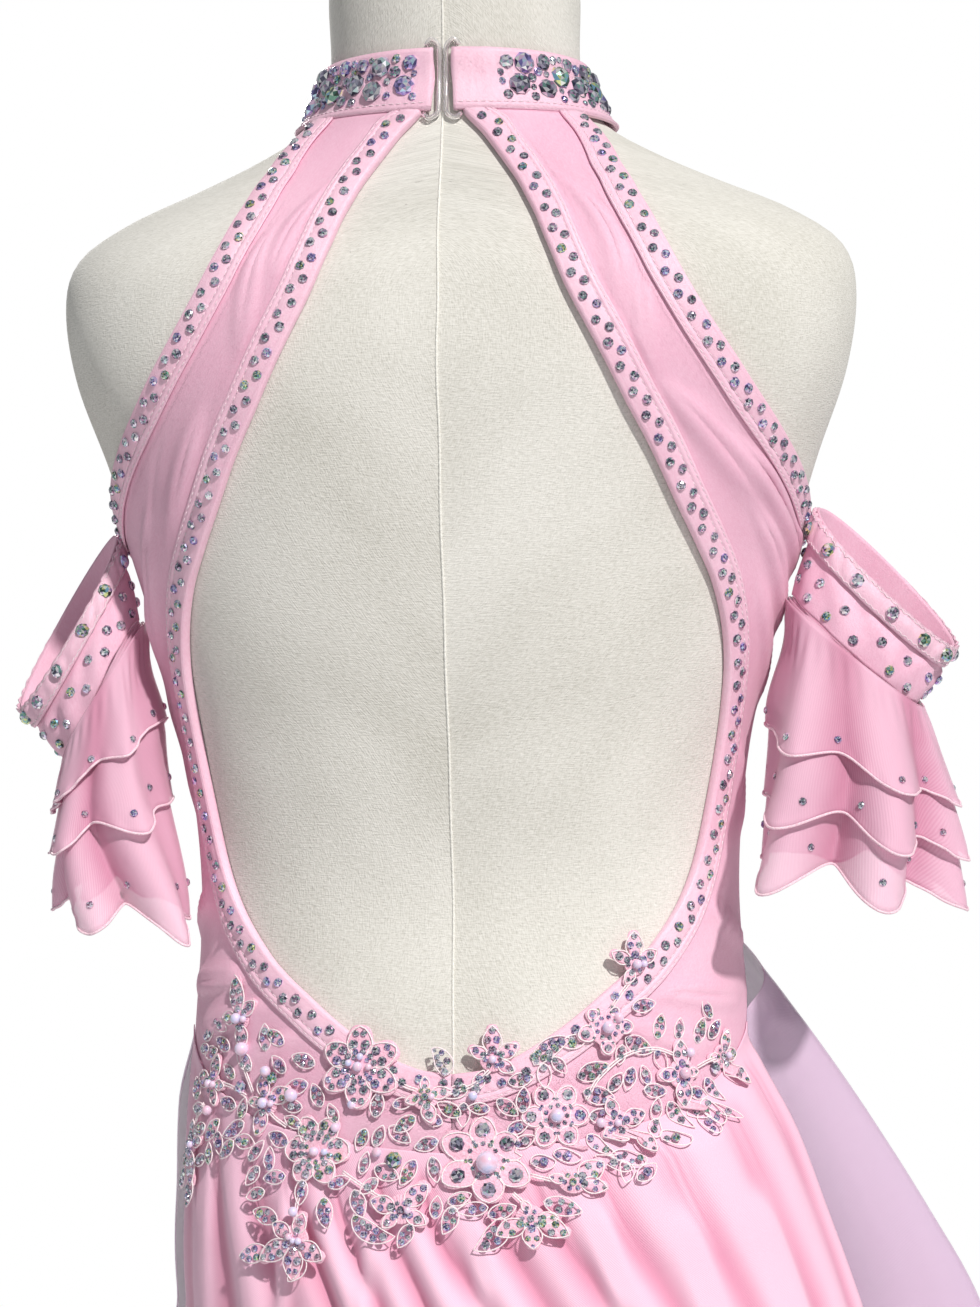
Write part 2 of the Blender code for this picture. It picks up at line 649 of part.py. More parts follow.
def collar(finish, collection):
    columns = 30
    rows = []
    for height in (COLLAR_LOW, mix(COLLAR_LOW, COLLAR_HIGH, 0.45), COLLAR_HIGH):
        rows.append([
            body_point(mix(COLLAR_END_ANGLE, 360.0 - COLLAR_END_ANGLE, c / columns), height, CLOTH_GAP)
            for c in range(columns + 1)
        ])
    wall("collar", rows, COLLAR_WALL, finish, collection)


def clasp(finish, collection):
    """Two uprights side by side at the centre back, whose arms run over and under the collar."""
    above = COLLAR_HIGH + CLASP_WIRE + SEAT_GAP
    below = COLLAR_LOW - CLASP_WIRE - SEAT_GAP
    for side, sign in SLEEVE_SIGN.items():
        spots = [
            (CLASP_REACH, above),
            (CLASP_MIDDLE + CLASP_CORNER, above),
            (CLASP_MIDDLE, above - CLASP_CORNER),
            (CLASP_MIDDLE, mix(above, below, 0.5)),
            (CLASP_MIDDLE, below + CLASP_CORNER),
            (CLASP_MIDDLE + CLASP_CORNER, below),
            (CLASP_REACH, below),
        ]
        curve = bpy.data.curves.new("clasp_" + side, "CURVE")
        curve.dimensions = "3D"
        curve.bevel_depth = CLASP_WIRE
        curve.bevel_resolution = 2
        curve.use_fill_caps = True
        spline = curve.splines.new("POLY")
        spline.points.add(len(spots) - 1)
        for spot, (sideways, height) in zip(spline.points, spots):
            radius = form_surface(0.0, height).length_squared - height**2
            angle = math.degrees(math.asin(sideways / math.sqrt(radius)))
            place = body_point(angle * sign, height, CLASP_OFFSET)
            spot.co = (*place, 1.0)
        link("clasp_" + side, curve, finish, collection)


# The skirt


def skirt_point(angle, height, right_column, lift):
    """A point of the skirt's plan at this height, pushed out from the valley line by lift."""
    s, c = math.sin(math.radians(angle)), math.cos(math.radians(angle))
    wide = between(SKIRT_SECTIONS, height, "height", right_column if s > 0 else "left")
    deep = between(SKIRT_SECTIONS, height, "height", "back" if c > 0 else "front")
    if height > FORM_BOTTOM:
        depth_column = "back" if c > 0 else "front"
        wide = max(wide, between(FORM_SECTIONS, height, "height", "half_width") + CLOTH_GAP)
        deep = max(deep, between(FORM_SECTIONS, height, "height", depth_column) + CLOTH_GAP)
    flat = oval_point(angle, height, wide, deep, SKIRT_POWER)
    turn = 0.2
    ahead = oval_point(angle + turn, height, wide, deep, SKIRT_POWER)
    behind = oval_point(angle - turn, height, wide, deep, SKIRT_POWER)
    outward = (ahead - behind).cross(Vector((0, 0, 1))).normalized()
    return flat + outward * lift


def fold_depth(gather, swing, drop, length):
    return gather * ease(drop / GATHER_DROP) + swing * max(0.0, drop / length) ** 1.25


def skirt_columns(folds):
    """(top angle, hem angle, gather, swing, crest share) for each column of a panel."""
    columns = []
    for a, b in zip(folds, folds[1:]):
        for k in range(STEPS_PER_FOLD):
            t = k / STEPS_PER_FOLD
            crest = 0.5 + 0.5 * math.cos(2 * math.pi * t)
            columns.append((
                mix(a.top_angle, b.top_angle, t), mix(a.hem_angle, b.hem_angle, t),
                mix(a.gather, b.gather, t), mix(a.swing, b.swing, t), crest,
            ))
    last = folds[-1]
    columns.append((last.top_angle, last.hem_angle, last.gather, last.swing, 1.0))
    return columns


def skirt_panel(name, folds, right_column, finish, collection):
    rows = []
    for share in SKIRT_ROWS:
        row = []
        for top_angle, hem_angle, gather, swing, crest in skirt_columns(folds):
            top = waist_height(top_angle) - GATHER_GAP
            length = top - SKIRT_HEM
            height = top - length * share
            drop = top - height
            angle = mix(top_angle, hem_angle, ease(share * 1.25))
            lift = fold_depth(gather, swing, drop, length) * crest
            if name == "skirt_front":
                tucked = ease((TUCK_ANGLE - top_angle) / TUCK_TURN)
                angle -= SLIP_TURN * tucked * ease((drop - SLIP_FROM) / (SLIP_TO - SLIP_FROM))
                lift = lift + side_shift(angle, height, drop)
            row.append(skirt_point(angle, height, right_column, lift))
        rows.append(row)
    wall(name, rows, MESH_WALL, finish, collection, flip=True)


def side_shift(angle, height, drop):
    """How the front panel's edges pass the back panel's: inside it on the right, outside on the left."""
    if angle < TUCK_ANGLE:
        flare = (
            between(SKIRT_SECTIONS, height, "height", "right_front")
            - between(SKIRT_SECTIONS, height, "height", "right_back")
        )
        share = ease((TUCK_ANGLE - angle) / TUCK_TURN)
        return -share * (flare + TUCK_DEPTH * ease((drop - 0.012) / TUCK_DROP))
    if angle > 265.0:
        return LAP_LIFT * ease((angle - 265.0) / 12.0) * ease((drop - 0.004) / 0.03)
    return 0.0


def skirt(finish, collection):
    skirt_panel("skirt_back", BACK_FOLDS, "right_back", finish, collection)
    skirt_panel("skirt_front", FRONT_FOLDS, "right_front", finish, collection)


# The sleeves


def loop_point(loops, share, turn, out):
    """A point round a sleeve. share runs from the top loop (0) to the foot loop (1); turn 0 is the
    outer end, and 90 the front; out is how far outside the loop it lies."""
    middle, half, across = (mix(a, b, share) for a, b in zip(*loops))
    c, s = math.cos(math.radians(turn)), math.sin(math.radians(turn))
    run = across * c - half * s
    outward = Vector((run.y, -run.x, 0.0)).normalized()
    if outward.dot(half * c + across * s) < 0:
        outward = -outward
    return middle + half * c + across * s + outward * out


def sleeve_tube(sleeve, name, shares, out, thickness, offset, finish, collection):
    rows = [
        [loop_point(sleeve.loops, share, 360.0 * k / SLEEVE_STEPS, out) for k in range(SLEEVE_STEPS)]
        for share in shares
    ]
    flip = sleeve.side == "right"
    wall(name, rows, thickness, finish, collection, closed=True, flip=flip, offset=offset)


def flounce(sleeve, tier, finish, collection):
    """One flounce: it hangs straight down from the sleeve's foot, spreading into waves."""
    side = sleeve.side
    grid = []
    for drop in FLOUNCE_ROWS[side][:tier + FLOUNCE_TIERS]:
        row = []
        for k in range(FLOUNCE_STEPS):
            turn = 360.0 * k / FLOUNCE_STEPS
            outer = 0.5 + 0.5 * math.cos(math.radians(turn))
            tight = ease((math.cos(math.radians(turn - FLOUNCE_TIGHT_TURN)) - 0.15) / 0.7)
            wave = 0.5 + 0.5 * math.cos(math.radians(turn * FLOUNCE_WAVES + 40.0))
            dip = FLOUNCE_DIP * (2.0 * wave - 1.0) * (1.0 - tight)
            fall = drop * (1.0 - FLOUNCE_LIFT[side] * outer) * (1.0 + dip)
            flare = FLOUNCE_SPREAD[tier] + FLOUNCE_FLARE[side] + FLOUNCE_WAVE[side] * wave
            swing = ease((fall - FLOUNCE_TUCK_FROM) / (FLOUNCE_TUCK_TO - FLOUNCE_TUCK_FROM))
            out = FLOUNCE_OUT[side][tier] + mix(flare * fall, FLOUNCE_TUCK * swing, tight)
            place = loop_point(sleeve.loops, 1.0, turn, out)
            behind = 0.5 - 0.5 * math.sin(math.radians(turn))
            back = FLOUNCE_BACK[side] * behind * ease(fall / FLOUNCE_BACK_DROP)
            inward = ease((fall - FLOUNCE_IN_FROM) / (FLOUNCE_IN_TO - FLOUNCE_IN_FROM))
            into = FLOUNCE_IN[side] * behind * inward
            row.append(place + Vector((-SLEEVE_SIGN[side] * into, -back, -GATHER_GAP - fall)))
        grid.append(row)
    name = f"flounce_{side}_{tier + 1}"
    wall(name, grid, MESH_WALL, finish, collection, closed=True, flip=side == "right")


def sleeves(satin, mesh, collection):
    for sleeve in SLEEVES:
        sleeve_tube(sleeve, "sleeve_" + sleeve.side, SLEEVE_SHARES, 0.0, SLEEVE_WALL, -1.0,
                    satin, collection)
        sleeve_tube(sleeve, "sleeve_band_" + sleeve.side, SLEEVE_SHARES[:2], BAND_GAP, BAND_WALL, 1.0,
                    satin, collection)
        for tier in range(FLOUNCE_TIERS):
            flounce(sleeve, tier, mesh, collection)


# The lace motifs


def cover_point(angle, height, lift):
    """A point on top of the bodice, or below the waist seam on top of the skirt's crests."""
    seam = waist_height(angle)
    if height >= seam:
        return body_point(angle, height, lift)
    drop = seam - height
    gather = between(BACK_FOLDS, angle, "top_angle", "gather")
    crest = fold_depth(gather, between(BACK_FOLDS, angle, "top_angle", "swing"), drop, seam - SKIRT_HEM)
    return skirt_point(angle, height, "right_back", crest + lift - CLOTH_GAP)


def motif_reach(motif, direction):
    """The motif's outline: its core, with a soft lobe for each petal."""
    reach = motif.core
    for heading, length, spread in motif.petals:
        off = (direction - heading + 180.0) % 360.0 - 180.0
        reach = max(reach, motif.core + (length - motif.core) * math.exp(-((off / spread) ** 4)))
    return reach * MM


def motif_plate(motif, finish, collection):
    across, up = surface_slopes(motif.angle, motif.height)
    lift = CLOTH_GAP + BODICE_WALL + MOTIF_GAP + motif.lift

    def spot(direction, reach, rise):
        angle = motif.angle + reach * math.cos(math.radians(direction)) / across.length
        height = motif.height + reach * math.sin(math.radians(direction)) / up.length
        return cover_point(angle, height, lift + rise)

    turns = [360.0 * k / MOTIF_STEPS for k in range(MOTIF_STEPS)]
    points = [spot(0.0, 0.0, MOTIF_RISE)]
    points += [spot(turn, motif_reach(motif, turn), 0.0) for turn in turns]
    faces = [[0, 1 + k, 1 + (k + 1) % MOTIF_STEPS] for k in range(MOTIF_STEPS)]
    mesh = bpy.data.meshes.new(motif.name)
    mesh.from_pydata(points, [], faces)
    obj = link("lace_" + motif.name, mesh, finish, collection)
    solid = obj.modifiers.new("lace", "SOLIDIFY")
    solid.thickness = MOTIF_WALL
    solid.offset = 1.0


def main():
    for obj in list(bpy.data.objects):
        bpy.data.objects.remove(obj, do_unlink=True)
    collection = bpy.data.collections.new("lyrical_dance_dress")
    bpy.context.scene.collection.children.link(collection)
    canvas = material("canvas", (0.83, 0.81, 0.76), 0.85)
    metal = material("stand_metal", (0.10, 0.10, 0.11), 0.45, metallic=0.6)
    satin = material("stretch_satin", (0.90, 0.55, 0.66), 0.38)
    mesh = material("soft_mesh", (0.92, 0.64, 0.74), 0.60)
    lace = material("lace", (0.95, 0.80, 0.84), 0.55)
    clear = material("clear_plastic", (0.95, 0.95, 0.95), 0.10, transmission=0.9)
    torso(canvas, collection)
    stand(metal, collection)
    bodice(satin, collection)
    collar(satin, collection)
    clasp(clear, collection)
    skirt(mesh, collection)
    sleeves(satin, mesh, collection)
    for motif in MOTIFS:
        motif_plate(motif, lace, collection)


main()
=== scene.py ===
"""The looks of a lyrical dance dress on a limbless dress form, in the frame of its solids.

Metres, +Z up. The back of the dress faces -Y. Angles run round the body from the centre back (0)
through the right side (90) to the centre front (180), in degrees. The tables and curves of the
form, the bodice, the skirt, the sleeves and the motifs are the same as those of the solids.
"""

import math
from collections import namedtuple

import bpy
import numpy as np
from mathutils import Matrix, Vector


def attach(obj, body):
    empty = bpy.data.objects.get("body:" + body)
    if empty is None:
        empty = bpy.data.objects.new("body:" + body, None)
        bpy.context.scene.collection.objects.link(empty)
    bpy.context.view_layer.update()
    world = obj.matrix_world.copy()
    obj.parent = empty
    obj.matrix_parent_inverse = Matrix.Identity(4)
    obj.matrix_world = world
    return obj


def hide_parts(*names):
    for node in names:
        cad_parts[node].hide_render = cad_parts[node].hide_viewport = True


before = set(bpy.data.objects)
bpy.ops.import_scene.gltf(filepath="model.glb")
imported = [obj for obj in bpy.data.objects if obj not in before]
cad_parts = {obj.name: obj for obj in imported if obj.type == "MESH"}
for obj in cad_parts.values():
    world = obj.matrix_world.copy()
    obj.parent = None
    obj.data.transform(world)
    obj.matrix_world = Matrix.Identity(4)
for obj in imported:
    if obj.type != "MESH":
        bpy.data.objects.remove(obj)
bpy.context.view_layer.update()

# Driving sizes, as in the solids

CLOTH_GAP = 0.0020          # between the form and the inside of the dress
BODICE_WALL = 0.0012
COLLAR_WALL = 0.0018
BINDING_WALL = 0.0012
MOTIF_GAP = 0.0006
MOTIF_RISE = 0.0008
LAY_GAP = 0.0005
SEAM_GAP = 0.0004
GATHER_GAP = 0.0009
BINDING_WIDTH = 0.0120
UNDERARM_EASE = 0.25
COLLAR_LOW = 1.3280
COLLAR_HIGH = 1.3570
COLLAR_END_ANGLE = 3.9
SIDE_SEAM_ANGLE = 92.0
SEAM_HALF_ANGLE = 0.10
SKIRT_HEM = 0.260
FORM_BOTTOM = 0.735
FORM_TOP = 1.405
POLE_RADIUS = 0.0125
FLANGE_RADIUS = 0.045
FLANGE_THICKNESS = 0.008
BASE_RADIUS = 0.175
BASE_HUB_RADIUS = 0.024
BASE_HUB_TOP = 0.048
SEAT_GAP = 0.0003


def table(kind, rows):
    """Rows of plain values as rows with named columns."""
    return [kind(*row) for row in rows]


Section = namedtuple("Section", "height half_width back front power")
FORM_SECTIONS = table(Section, [
    (0.735, 0.108, 0.085, 0.078, 2.2), (0.762, 0.121, 0.097, 0.087, 2.2),
    (0.82, 0.129, 0.106, 0.092, 2.2), (0.87, 0.127, 0.102, 0.092, 2.2),
    (0.93, 0.122, 0.088, 0.09, 2.2), (0.99, 0.1185, 0.077, 0.089, 2.2),
    (1.05, 0.124, 0.084, 0.097, 2.2), (1.1, 0.136, 0.093, 0.113, 2.2),
    (1.14, 0.1475, 0.099, 0.12, 2.2), (1.18, 0.16, 0.103, 0.108, 2.3),
    (1.22, 0.174, 0.104, 0.092, 2.4), (1.255, 0.1785, 0.098, 0.08, 2.4),
    (1.275, 0.172, 0.09, 0.072, 2.3), (1.29, 0.15, 0.083, 0.066, 2.2),
    (1.303, 0.12, 0.076, 0.063, 2.1), (1.316, 0.092, 0.069, 0.061, 2),
    (1.33, 0.069, 0.062, 0.06, 2), (1.35, 0.0575, 0.057, 0.058, 2),
    (1.398, 0.0565, 0.055, 0.057, 2), (1.405, 0.051, 0.049, 0.051, 2),
])

PanelRow = namedtuple("PanelRow", "inner_angle inner_height outer_angle outer_height")
PANEL_ROWS = table(PanelRow, [
    (8.2, COLLAR_LOW - SEAM_GAP, 52, COLLAR_LOW - SEAM_GAP), (12.4, 1.317, 46, 1.316),
    (13, 1.303, 35, 1.3), (12.2, 1.286, 29.3, 1.285), (12.2, 1.268, 28.2, 1.268),
    (14, 1.248, 31, 1.249), (18, 1.226, 37, 1.228), (23.5, 1.203, 46, 1.207),
    (30, 1.182, 57, 1.189), (37, 1.16, 69, 1.173), (44, 1.141, 80, 1.16),
    (51, 1.123, SIDE_SEAM_ANGLE, 1.149), (57.5, 1.102, SIDE_SEAM_ANGLE, 1.126),
    (62, 1.08, SIDE_SEAM_ANGLE, 1.099), (64, 1.056, SIDE_SEAM_ANGLE, 1.069),
    (62.5, 1.03, SIDE_SEAM_ANGLE, 1.037), (58.5, 1.004, SIDE_SEAM_ANGLE, 1.007),
    (52, 0.984, SIDE_SEAM_ANGLE, 0.979), (42, 0.965, SIDE_SEAM_ANGLE, 0.948),
    (36, 0.9557, 85.5, 0.9366), (30, 0.9475, 78, 0.9235), (24.9, 0.94, 69, 0.9153),
    (20, 0.933, 60, 0.907), (15.3, 0.9268, 50.5, 0.9), (11, 0.9215, 41, 0.8935),
    (7.6, 0.9183, 31, 0.8895), (4.5, 0.916, 21, 0.886), (0.03, 0.9145, 0.03, 0.882),
])
PANEL_COLUMNS = 7
ARMHOLE_ROWS = 12

Place = namedtuple("Place", "angle height")
FrontRow = namedtuple("FrontRow", "edge_angle edge_height middle_height")
FRONT_ROWS = table(FrontRow, [
    (SIDE_SEAM_ANGLE, 1.149, 1.126), (103, 1.153, 1.137), (114, 1.164, 1.151), (124, 1.182, 1.169),
    (133, 1.206, 1.192), (140, 1.233, 1.22), (144.5, 1.26, 1.25), (145, 1.284, 1.278),
    (141, 1.302, 1.299), (135, 1.316, 1.314), (128, COLLAR_LOW - SEAM_GAP, COLLAR_LOW - SEAM_GAP),
])
WAIST_SEAM = table(Place, [
    (0, 0.882), (21, 0.886), (41, 0.8935), (60, 0.907), (78, 0.9235), (92, 0.948), (108, 0.961),
    (140, 0.968), (180, 0.97),
])
FRONT_COLUMNS = 24
FRONT_ROWS_BELOW = 8

SkirtSection = namedtuple("SkirtSection", "height left right_back right_front back front")
SKIRT_SECTIONS = table(SkirtSection, [
    (0.97, 0.115, 0.115, 0.12, 0.07, 0.085), (0.946, 0.118, 0.118, 0.134, 0.075, 0.091),
    (0.92, 0.121, 0.126, 0.152, 0.082, 0.093), (0.88, 0.125, 0.146, 0.179, 0.098, 0.097),
    (0.84, 0.128, 0.161, 0.203, 0.107, 0.103), (0.8, 0.131, 0.174, 0.224, 0.113, 0.112),
    (0.7, 0.147, 0.203, 0.256, 0.128, 0.133), (0.6, 0.166, 0.227, 0.278, 0.146, 0.155),
    (0.45, 0.197, 0.258, 0.302, 0.178, 0.19), (0.26, 0.238, 0.288, 0.326, 0.222, 0.232),
])
SKIRT_POWER = 2.2

Fold = namedtuple("Fold", "top_angle hem_angle gather swing")
BACK_FOLDS = table(Fold, [
    (-80, -83, 0, 0.001), (-64, -71, 0.002, 0.015), (-49, -59, 0.0035, 0.019),
    (-36, -47, 0.005, 0.022), (-26, -36, 0.0058, 0.025), (-17, -25, 0.0062, 0.027),
    (-8.5, -15, 0.0062, 0.026), (-0.5, -4, 0.006, 0.028), (7.5, 7, 0.0058, 0.026),
    (16, 19, 0.0048, 0.025), (28, 33, 0.003, 0.022), (45, 50, 0.0016, 0.02), (64, 67, 0.001, 0.017),
    (80, 82, 0.0004, 0.012),
])
FRONT_FOLDS = table(Fold, [
    (80.8, 62, 0, 0), (97, 92, 0.0012, 0.014), (113, 110, 0.0024, 0.019), (129, 128, 0.0036, 0.023),
    (145, 146, 0.0042, 0.025), (161, 163, 0.0046, 0.024), (177, 179, 0.0048, 0.026),
    (193, 196, 0.0046, 0.024), (209, 213, 0.0042, 0.025), (226, 230, 0.0034, 0.022),
    (244, 248, 0.0022, 0.018), (262, 267, 0.001, 0.013), (279.2, 284, 0, 0),
])
GATHER_DROP = 0.075
TUCK_DEPTH = 0.012
TUCK_DROP = 0.050
TUCK_ANGLE = 93.0
TUCK_TURN = 12.0
LAP_LIFT = 0.0042
SLIP_TURN = 5.0
SLIP_FROM = 0.020
SLIP_TO = 0.080

CLASP_WIRE = 0.0011
CLASP_OFFSET = 0.0022
CLASP_MIDDLE = 0.0014
CLASP_REACH = 0.0070
CLASP_CORNER = 0.0020

# A sleeve's two arm loops, then its flounces: each one's drop, how far their outer side is lifted,
# how far out each one starts, how they flare and wave, and how far they hang back and to the right.
Loop = namedtuple("Loop", "middle half across")
Sleeve = namedtuple("Sleeve", "side loops drops lift out flare wave back aside")
SLEEVES = table(Sleeve, [
    ("left", table(Loop, [
        ((-0.18, -0.012, 1.112), (-0.0232, 0, -0.0378), (-0.004, 0.022, 0.01)),
        ((-0.1629, -0.016, 1.08), (-0.0155, 0, -0.032), (0, 0.027, 0.004)),
    ]), (0.044, 0.08, 0.132), 0.55, (0.004, 0.002, 0), -0.03, 0.17, 0.016, 0.026),
    ("right", table(Loop, [
        ((0.1892, -0.012, 1.125), (0.0295, 0, -0.031), (0.004, 0.024, 0.005)),
        ((0.1745, -0.016, 1.093), (0.027, 0, -0.025), (0.002, 0.027, 0.002)),
    ]), (0.056, 0.086, 0.114), 0.28, (0.0034, 0.0017, 0), 0.03, 0.24, 0.012, -0.012),
])
BAND_SHARE = 0.34
BAND_GAP = 0.0008
FLOUNCE_SPREAD = [0.090, 0.045, 0.0]
FLOUNCE_DIP = 0.08
FLOUNCE_BACK_DROP = 0.070
FLOUNCE_IN_FROM = 0.045
FLOUNCE_IN_TO = 0.130
FLOUNCE_TUCK = 0.0095
FLOUNCE_TUCK_FROM = 0.012
FLOUNCE_TUCK_TO = 0.052
FLOUNCE_WAVES = 6
FLOUNCE_TIGHT_TURN = 160.0

# A motif's core and petals, given as (heading, length, spread), are in millimetres and degrees. Then
# its stones' kinds, the diameter of its middle pearl in millimetres (0 is none), how many small
# pearls lie round the middle, and whether each petal holds one large stone.
Motif = namedtuple("Motif", "name angle height core petals lift kinds pearl small_pearls large")
ON_CLOTH = 0.0
OVER_SEAM = 0.0006
OVER_BINDING = BINDING_WALL + LAY_GAP
MM = 0.001


def even_petals(count, length, spread, turn):
    return [(turn + 360.0 * k / count, length, spread) for k in range(count)]


MOTIFS = table(Motif, [
    ("flower_left_upper", -16.2, 0.9184, 12, even_petals(6, 18, 22, 30), OVER_BINDING,
     ("dark", "dark", "violet"), 4.2, 3, False),
    ("flower_left_lower", -24.5, 0.8848, 10, even_petals(6, 15, 22, 0), ON_CLOTH,
     ("green", "dark", "clear"), 4.2, 1, False),
    ("flower_right_pearl", 4.8, 0.8819, 12, even_petals(6, 17.5, 22, 30), ON_CLOTH,
     ("green", "clear", "dark"), 9.6, 0, True),
    ("flower_right_upper", 18, 0.8981, 10, even_petals(6, 14.5, 22, 0), ON_CLOTH,
     ("dark", "violet", "clear"), 6.2, 0, True),
    ("flower_right_binding", 29, 0.9334, 7.5,
     [(0, 12, 20), (60, 10, 18), (135, 11, 20), (195, 13, 20), (270, 12, 20)], OVER_BINDING,
     ("violet", "clear"), 5.4, 0, True),
    ("leaves_left_low", -27.2, 0.8486, 6,
     [(75, 12, 17), (150, 13, 17), (210, 19, 17), (270, 17, 17), (330, 15, 17)], ON_CLOTH,
     ("clear", "pink", "violet"), 2.6, 2, False),
    ("leaf_centre_low", -7.5, 0.8626, 6,
     [(45, 15, 20), (165, 14, 20), (225, 11, 20), (330, 12, 20)], ON_CLOTH,
     ("dark", "clear", "violet"), 0, 1, False),
    ("leaves_left_middle", -37.8, 0.9018, 5.5,
     [(30, 14, 17), (105, 13, 17), (255, 14, 17), (180, 10, 17)], ON_CLOTH,
     ("dark", "green", "violet"), 4.6, 1, False),
    ("leaves_left_side", -57.5, 0.907, 5.5,
     [(75, 14, 17), (165, 13, 17), (0, 10, 17), (300, 10, 17)], ON_CLOTH,
     ("dark", "violet", "green"), 3.6, 1, False),
    ("leaves_left_hanging", -63.5, 0.881, 5,
     [(90, 11, 17), (240, 13, 17), (285, 19, 17), (15, 11, 17)], ON_CLOTH,
     ("clear", "violet", "green"), 0, 1, False),
    ("leaves_left_binding", -48, 0.9363, 5,
     [(105, 20, 17), (45, 12, 17), (180, 12, 17), (285, 14, 17)], ON_CLOTH,
     ("dark", "green", "clear"), 4.8, 1, False),
    ("leaves_centre", -4, 0.9065, 5.5,
     [(15, 11, 17), (90, 9, 17), (195, 9, 17), (285, 12, 17)], OVER_BINDING,
     ("green", "violet", "clear"), 0, 1, False),
    ("sprig_centre", 6.5, 0.9215, 5,
     [(90, 15, 17), (150, 11, 17), (30, 13, 17), (330, 11, 17)], OVER_BINDING,
     ("dark", "violet", "pink"), 3.4, 0, False),
    ("leaves_right_middle", 30.2, 0.894, 5.5,
     [(15, 14, 17), (105, 12, 17), (300, 13, 17), (225, 9, 17)], OVER_SEAM,
     ("dark", "clear", "violet"), 3.2, 0, False),
    ("leaf_right_low", 17.5, 0.8731, 5,
     [(30, 15, 17), (345, 13, 17), (165, 9, 17)], ON_CLOTH, ("green", "clear", "violet"), 0, 0, False),
    ("leaves_right_low", 10.5, 0.859, 5,
     [(0, 10, 17), (210, 14, 17), (270, 13, 17), (330, 15, 17), (105, 8, 17)], ON_CLOTH,
     ("clear", "violet", "green"), 0, 0, False),
    ("sprig_right_binding", 36.5, 0.959, 4.5,
     [(90, 15, 17), (150, 12, 17), (30, 12, 17), (240, 10, 17)], OVER_BINDING,
     ("dark", "violet", "clear"), 4, 1, False),
    ("leaves_right_side", 47.2, 0.9121, 6.5,
     [(90, 15, 20), (180, 12, 20), (270, 15, 20), (0, 9, 20)], OVER_SEAM,
     ("dark", "violet", "clear"), 5, 0, False),
    ("leaves_right_end", 61.5, 0.917, 5,
     [(0, 12, 17), (60, 13, 17), (180, 9, 17), (300, 14, 17)], ON_CLOTH,
     ("clear", "green", "pink"), 0, 1, False),
])

# What only the looks have

# Soft creases of the satin: from one place to another, how wide, and how high (a trough is below 0).
Crease = namedtuple("Crease", "angle height to_angle to_height width rise")
BACK_CREASES = {
    "right": table(Crease, [
        (30, 1.205, 58, 1.156, 0.0043, 0.003), (36, 1.198, 70, 1.152, 0.003, -0.0009),
        (46, 1.183, 90, 1.127, 0.004, 0.0034), (50, 1.164, 84, 1.119, 0.0029, -0.0009),
        (56, 1.156, 91, 1.101, 0.0037, 0.0031), (66, 1.122, 91, 1.07, 0.004, 0.0025),
        (72, 1.056, 90, 1.01, 0.0043, 0.0018), (60, 0.983, 89, 0.959, 0.004, 0.0021),
        (40, 0.948, 78, 0.94, 0.0037, 0.0018), (32, 0.936, 60, 0.92, 0.0033, 0.0014),
        (24, 1.25, 27, 1.202, 0.0027, 0.0017), (20, 1.295, 21.5, 1.24, 0.0026, 0.0015),
        (23, 1.275, 25, 1.232, 0.0022, -0.0008),
    ]),
    "left": table(Crease, [
        (34, 1.199, 52, 1.142, 0.004, 0.0028), (46, 1.187, 66, 1.126, 0.0032, -0.0009),
        (56, 1.16, 76, 1.094, 0.004, 0.003), (70, 1.13, 86, 1.054, 0.0037, 0.0023),
        (74, 1.09, 90, 1.02, 0.0043, 0.0021), (62, 0.996, 88, 0.97, 0.0037, 0.0023),
        (44, 0.957, 80, 0.947, 0.0035, 0.0024), (40, 0.944, 70, 0.927, 0.0032, 0.002),
        (30, 0.933, 54, 0.912, 0.0029, 0.0015), (21, 1.275, 24, 1.22, 0.0024, 0.0016),
        (17.5, 1.295, 19, 1.25, 0.0022, 0.0013),
    ]),
}
FRONT_CREASES = table(Crease, [
    (112, 1.142, 140, 1.108, 0.0048, 0.003), (120, 1.09, 150, 1.1, 0.0058, 0.0024),
    (108, 1.03, 128, 0.99, 0.005, 0.0026), (244, 1.15, 222, 1.112, 0.0048, 0.0029),
    (238, 1.085, 214, 1.096, 0.006, -0.0008), (252, 1.035, 230, 0.993, 0.0048, 0.0026),
    (150, 1.26, 158, 1.19, 0.006, 0.0018), (209, 1.255, 202, 1.185, 0.006, 0.0016),
    (166, 1.03, 196, 1.022, 0.008, 0.0014),
])

# Ridges between the skirt's folds: the angle at the seam and at the hem, the drops between which
# each one shows, how wide it is in degrees, and how high.
Ridge = namedtuple("Ridge", "top_angle hem_angle start stop wide rise")
BACK_RIDGES = table(Ridge, [
    (-57, -66, 0.004, 0.5, 2.4, 0.004), (-31, -41, 0.01, 0.42, 1.6, 0.003),
    (-13.5, -21, 0.02, 0.46, 1.3, 0.0026), (3.4, 1.5, 0.016, 0.5, 1.2, 0.0028),
    (21.5, 25, 0.012, 0.42, 1.6, 0.0026), (36, 41, 0.02, 0.55, 2.6, 0.0026),
    (54, 58, 0.03, 0.6, 3, 0.0026),
])
FRONT_RIDGES = table(Ridge, [
    (88, 82, 0.01, 0.6, 2.2, 0.005), (104, 100, 0.004, 0.4, 1.8, 0.0046),
    (121, 119, 0, 0.58, 2.2, 0.005), (138, 137, 0, 0.34, 1.5, 0.004),
    (152, 153.5, 0.002, 0.6, 2, 0.0046), (170, 172, 0, 0.4, 1.6, 0.0042),
    (185, 188, 0, 0.62, 2.2, 0.0048), (201, 205, 0.003, 0.36, 1.6, 0.004),
    (218, 222, 0, 0.54, 2, 0.0048), (235, 239, 0, 0.3, 1.6, 0.0038),
    (253, 258, 0.004, 0.56, 2.2, 0.004),
])

